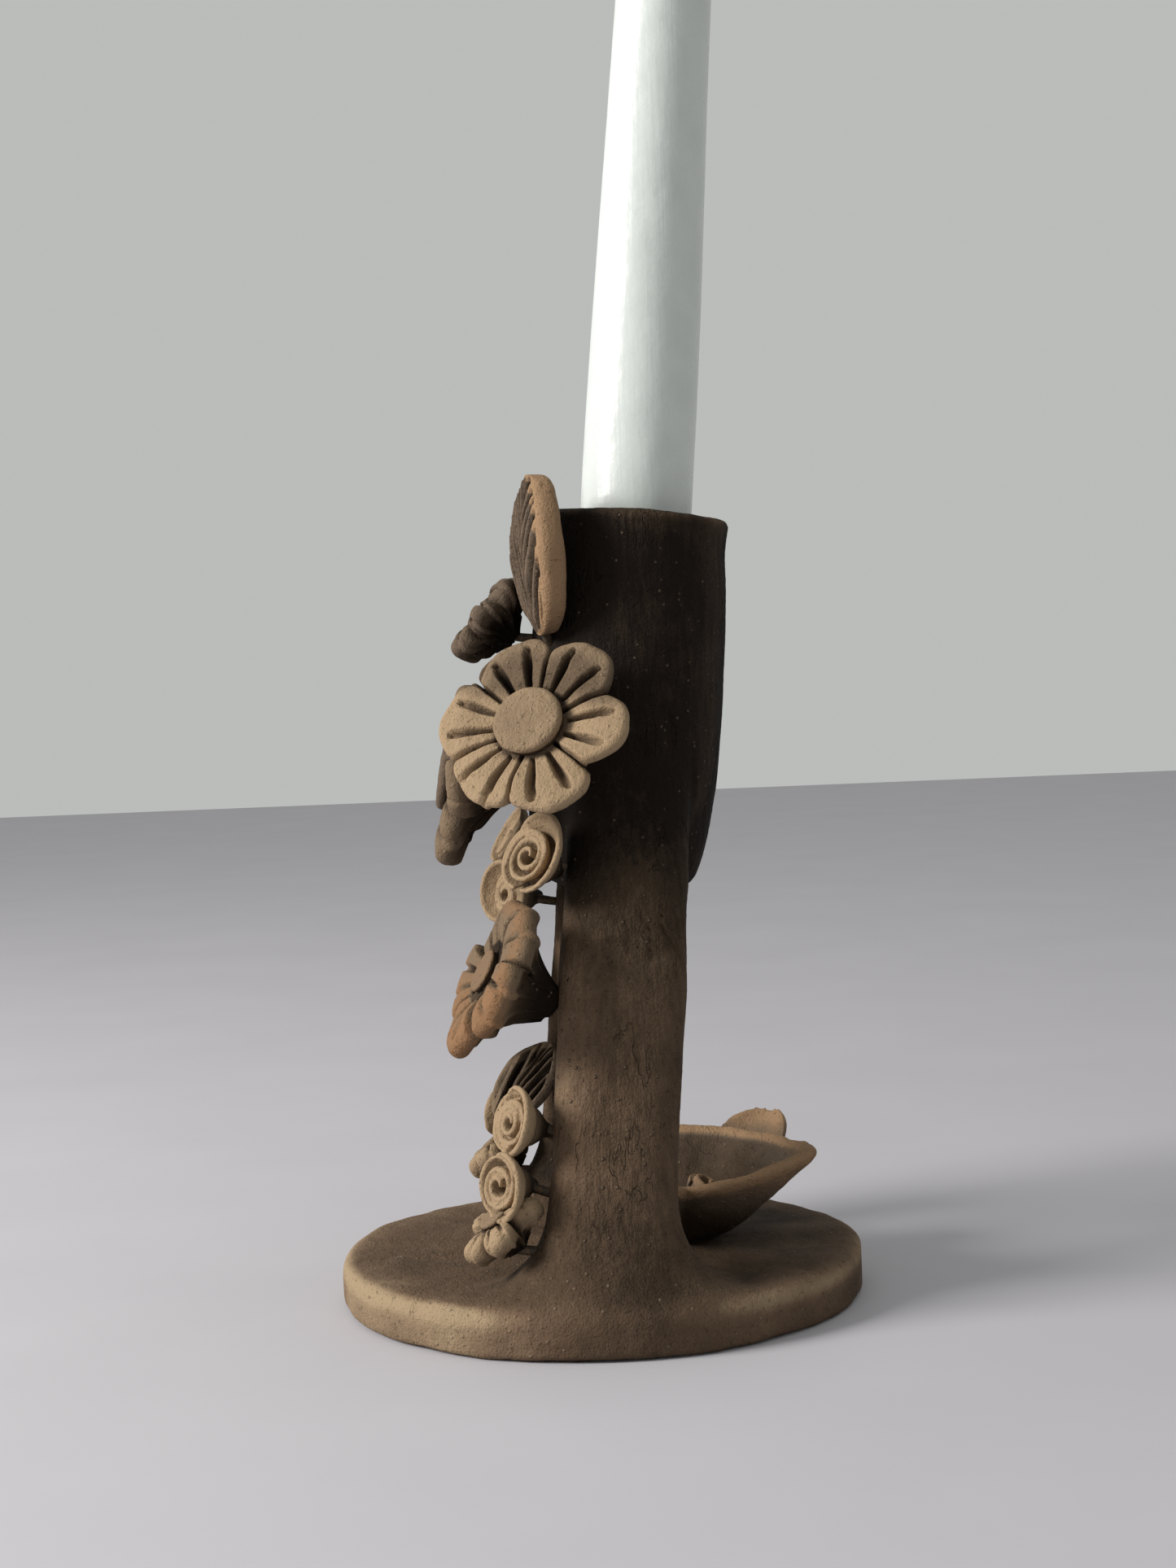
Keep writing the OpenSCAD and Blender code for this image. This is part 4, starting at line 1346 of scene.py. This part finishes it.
def build_window(power):
    """A soft area light that shines on the middle of the tree."""
    lamp = bpy.data.lights.new("window", "AREA")
    lamp.shape = "DISK"
    lamp.size = WINDOW_SIZE
    lamp.energy = power
    lamp.color = WINDOW_COLOUR
    light = bpy.data.objects.new("window", lamp)
    way = Vector(WINDOW_WAY).normalized()
    light.location = Vector(TREE_MIDDLE) + way * WINDOW_DISTANCE
    light.rotation_mode = "QUATERNION"
    light.rotation_quaternion = way.to_track_quat("Z", "Y")
    bpy.context.scene.collection.objects.link(light)


def build_room(stage):
    """The light from all round."""
    world = bpy.data.worlds.new("room")
    world.use_nodes = True
    background = world.node_tree.nodes["Background"]
    background.inputs["Color"].default_value = rgba(stage.room_colour)
    background.inputs["Strength"].default_value = stage.room_light
    bpy.context.scene.world = world
    bpy.context.scene.view_settings.view_transform = "Standard"


def build_camera(stage):
    """The camera, beside the tree so that the base and legs are seen edge on."""
    camera = bpy.data.cameras.new("camera")
    camera.sensor_fit = "AUTO"
    camera.sensor_width = 36
    camera.lens = stage.lens
    camera.clip_start = 0.01
    view = bpy.data.objects.new("camera", camera)
    azimuth = stage.camera_azimuth
    aimed = Matrix.Rotation(azimuth + stage.camera_turn, 4, "Z")
    tipped = Matrix.Rotation(math.pi / 2 + stage.camera_pitch, 4, "X")
    rolled = Matrix.Rotation(stage.camera_roll, 4, "Z")
    away = Vector((math.sin(azimuth), -math.cos(azimuth), 0)) * stage.camera_distance
    place = Matrix.Translation(away + Vector((0, 0, stage.camera_height)))
    view.matrix_world = place @ aimed @ tipped @ rolled
    bpy.context.scene.collection.objects.link(view)
    bpy.context.scene.camera = view


# Settings

def colour_property(name, description, default):
    """A colour that can be set in the panel."""
    return FloatVectorProperty(name=name, description=description, default=default, subtype="COLOR",
                               min=0, max=1)


class ClayLook(bpy.types.PropertyGroup):
    """Colours and relief of the fired clay."""

    trunk_grain: FloatProperty(name="Trunk grain", description="Size of the faces on the smeared trunk",
                               default=0.62 * MM, min=0.4 * MM, max=2 * MM, unit="LENGTH")
    relief: FloatProperty(name="Relief", description="Height of the clay's grit and brush marks",
                          default=1.6 * MM, min=0, max=3 * MM, unit="LENGTH")
    mottling: FloatProperty(name="Mottling", description="How unevenly the smoke took to the clay",
                            default=0.36, min=0, max=1, subtype="FACTOR")
    tan_colour: colour_property("Tan", "Clay of the base's rim that no smoke reached", (0.31, 0.225, 0.138))
    brown_colour: colour_property("Brown", "Clay of the legs and base", (0.14, 0.09, 0.056))
    # Dark brown and black also colour the painted shade in hollows, behind flowers and in the tree's shadow
    dark_colour: colour_property("Dark brown", "Well smoked clay", (0.045, 0.029, 0.017))
    smoke_colour: colour_property("Black", "Clay blackened by smoke", (0.01, 0.006, 0.0035))
    buff_colour: colour_property("Buff", "Clay of the daisies and roses", (0.32, 0.225, 0.136))
    orange_colour: colour_property("Orange", "Clay of the bellflowers", (0.22, 0.12, 0.06))
    leaf_colour: colour_property("Leaf edge", "Clay of the leaf and lily edges", (0.28, 0.175, 0.098))
    drab_colour: colour_property("Drab", "Buff clay with a breath of smoke", (0.165, 0.115, 0.072))
    grey_colour: colour_property("Grey", "Grey-brown clay of the leaves' faces", (0.115, 0.083, 0.058))
    grit_colour: colour_property("Grit", "Grains in the clay", (0.3, 0.22, 0.15))
    fleck_colour: colour_property("Flecks", "Few pale flecks on the surface", (0.75, 0.7, 0.66))


class CandleLook(bpy.types.PropertyGroup):
    """Colours of the candle, its wick and the wires."""

    wax_colour: colour_property("Wax", "Cool white candle wax", (0.62, 0.655, 0.63))
    cotton_colour: colour_property("Cotton", "Waxed cotton of the wick", (0.8, 0.76, 0.65))
    wire_colour: colour_property("Wire", "Fired wire", (0.05, 0.038, 0.028))
    rust_colour: colour_property("Rust", "Scale on the wire", (0.16, 0.1, 0.05))


class StageLook(bpy.types.PropertyGroup):
    """Camera, light and floor."""

    camera_azimuth: FloatProperty(name="Azimuth", description="Direction of the camera from the front",
                                  default=math.radians(88), subtype="ANGLE")
    camera_distance: FloatProperty(name="Distance", description="Camera's distance from the tree's middle",
                                   default=0.4627, min=0.1, unit="LENGTH")
    camera_height: FloatProperty(name="Height", description="Camera's height above the table",
                                 default=0.1231, unit="LENGTH")
    camera_turn: FloatProperty(name="Turn", description="Turn of the camera away from the tree's middle",
                               default=math.radians(-0.12), subtype="ANGLE")
    camera_pitch: FloatProperty(name="Pitch", description="Tilt of the camera, upwards",
                                default=math.radians(-2.61), subtype="ANGLE")
    camera_roll: FloatProperty(name="Roll", description="Turn of the camera about its line of sight",
                               default=math.radians(-2.2), subtype="ANGLE")
    lens: FloatProperty(name="Lens", description="Focal length on a sensor 36 mm long", default=53.24, min=10)
    window_power: FloatProperty(name="Window", description="Power of the soft light", default=15.5,
                                min=0, unit="POWER")
    room_light: FloatProperty(name="Room light", description="Strength of the light from all round",
                              default=0.55, min=0)
    room_colour: colour_property("Room", "Colour of the room", (0.9, 0.92, 0.9))
    floor_size: FloatProperty(name="Floor", description="Half the floor's width", default=2,
                              min=0.3, unit="LENGTH")


# Operators

class TrunkOperator(bpy.types.Operator):
    """Shapes the base, the two legs and the candle socket"""

    bl_idname = "clay_tree.trunk"
    bl_label = "Trunk and Base"

    def execute(self, context):
        build_trunk(context.scene.clay_look)
        return {"FINISHED"}


class CandleOperator(bpy.types.Operator):
    """Shapes the candle and its wick"""

    bl_idname = "clay_tree.candle"
    bl_label = "Candle"

    def execute(self, context):
        build_candle(context.scene.candle_look)
        build_wick(context.scene.candle_look)
        return {"FINISHED"}


class FlowersOperator(bpy.types.Operator):
    """Shapes the slotted flowers: daisies, bellflowers, and the middle, top and foot flowers"""

    bl_idname = "clay_tree.flowers"
    bl_label = "Slotted Flowers"

    def execute(self, context):
        for number, row in enumerate(FLOWERS):
            build_petals(row, number)
            build_button(row, number)
        return {"FINISHED"}


class RosesOperator(bpy.types.Operator):
    """Shapes the rolled roses"""

    bl_idname = "clay_tree.roses"
    bl_label = "Roses"

    def execute(self, context):
        for number, row in enumerate(ROSES):
            build_rose(row, number)
        return {"FINISHED"}


class LeavesOperator(bpy.types.Operator):
    """Shapes the leaves"""

    bl_idname = "clay_tree.leaves"
    bl_label = "Leaves"

    def execute(self, context):
        for number, row in enumerate(LEAVES):
            build_blade(row, number)
        return {"FINISHED"}


class LilyOperator(bpy.types.Operator):
    """Shapes the lily and its bud"""

    bl_idname = "clay_tree.lily"
    bl_label = "Lily"

    def execute(self, context):
        build_lily()
        build_bud()
        return {"FINISHED"}


class WiresOperator(bpy.types.Operator):
    """Bends the wires that carry the flowers, roses and leaves"""

    bl_idname = "clay_tree.wires"
    bl_label = "Wires"

    def execute(self, context):
        oxidised_wire(context.scene.candle_look)
        for number, (name, side, start, end) in enumerate(wire_ends()):
            build_wire(name, side, start, end, number)
        return {"FINISHED"}


class StageOperator(bpy.types.Operator):
    """Sets up the floor, the light and the camera"""

    bl_idname = "clay_tree.stage"
    bl_label = "Stage"

    def execute(self, context):
        stage = context.scene.stage_look
        build_floor(stage.floor_size)
        build_window(stage.window_power)
        build_room(stage)
        build_camera(stage)
        return {"FINISHED"}


class ClayTreePanel(bpy.types.Panel):
    """Lists the pieces and their settings"""

    bl_idname = "VIEW3D_PT_clay_tree"
    bl_label = "Clay Tree"
    bl_space_type = "VIEW_3D"
    bl_region_type = "UI"
    bl_category = "Clay Tree"

    def draw(self, context):
        for operator in OPERATORS:
            self.layout.operator(operator.bl_idname)
        for group in (context.scene.clay_look, context.scene.candle_look, context.scene.stage_look):
            box = self.layout.box()
            for name in group.__annotations__:
                box.prop(group, name)


OPERATORS = (TrunkOperator, CandleOperator, FlowersOperator, RosesOperator, LeavesOperator, LilyOperator,
             WiresOperator, StageOperator)
GROUPS = {"clay_look": ClayLook, "candle_look": CandleLook, "stage_look": StageLook}


def register():
    for cls in (*GROUPS.values(), *OPERATORS, ClayTreePanel):
        bpy.utils.register_class(cls)
    for name, group in GROUPS.items():
        setattr(bpy.types.Scene, name, PointerProperty(type=group))


def unregister():
    for name in GROUPS:
        delattr(bpy.types.Scene, name)
    for cls in reversed((*GROUPS.values(), *OPERATORS, ClayTreePanel)):
        bpy.utils.unregister_class(cls)


def main():
    register()
    for operator in OPERATORS:
        group, name = operator.bl_idname.split(".")
        getattr(getattr(bpy.ops, group), name)()


if __name__ == "__main__":
    main()
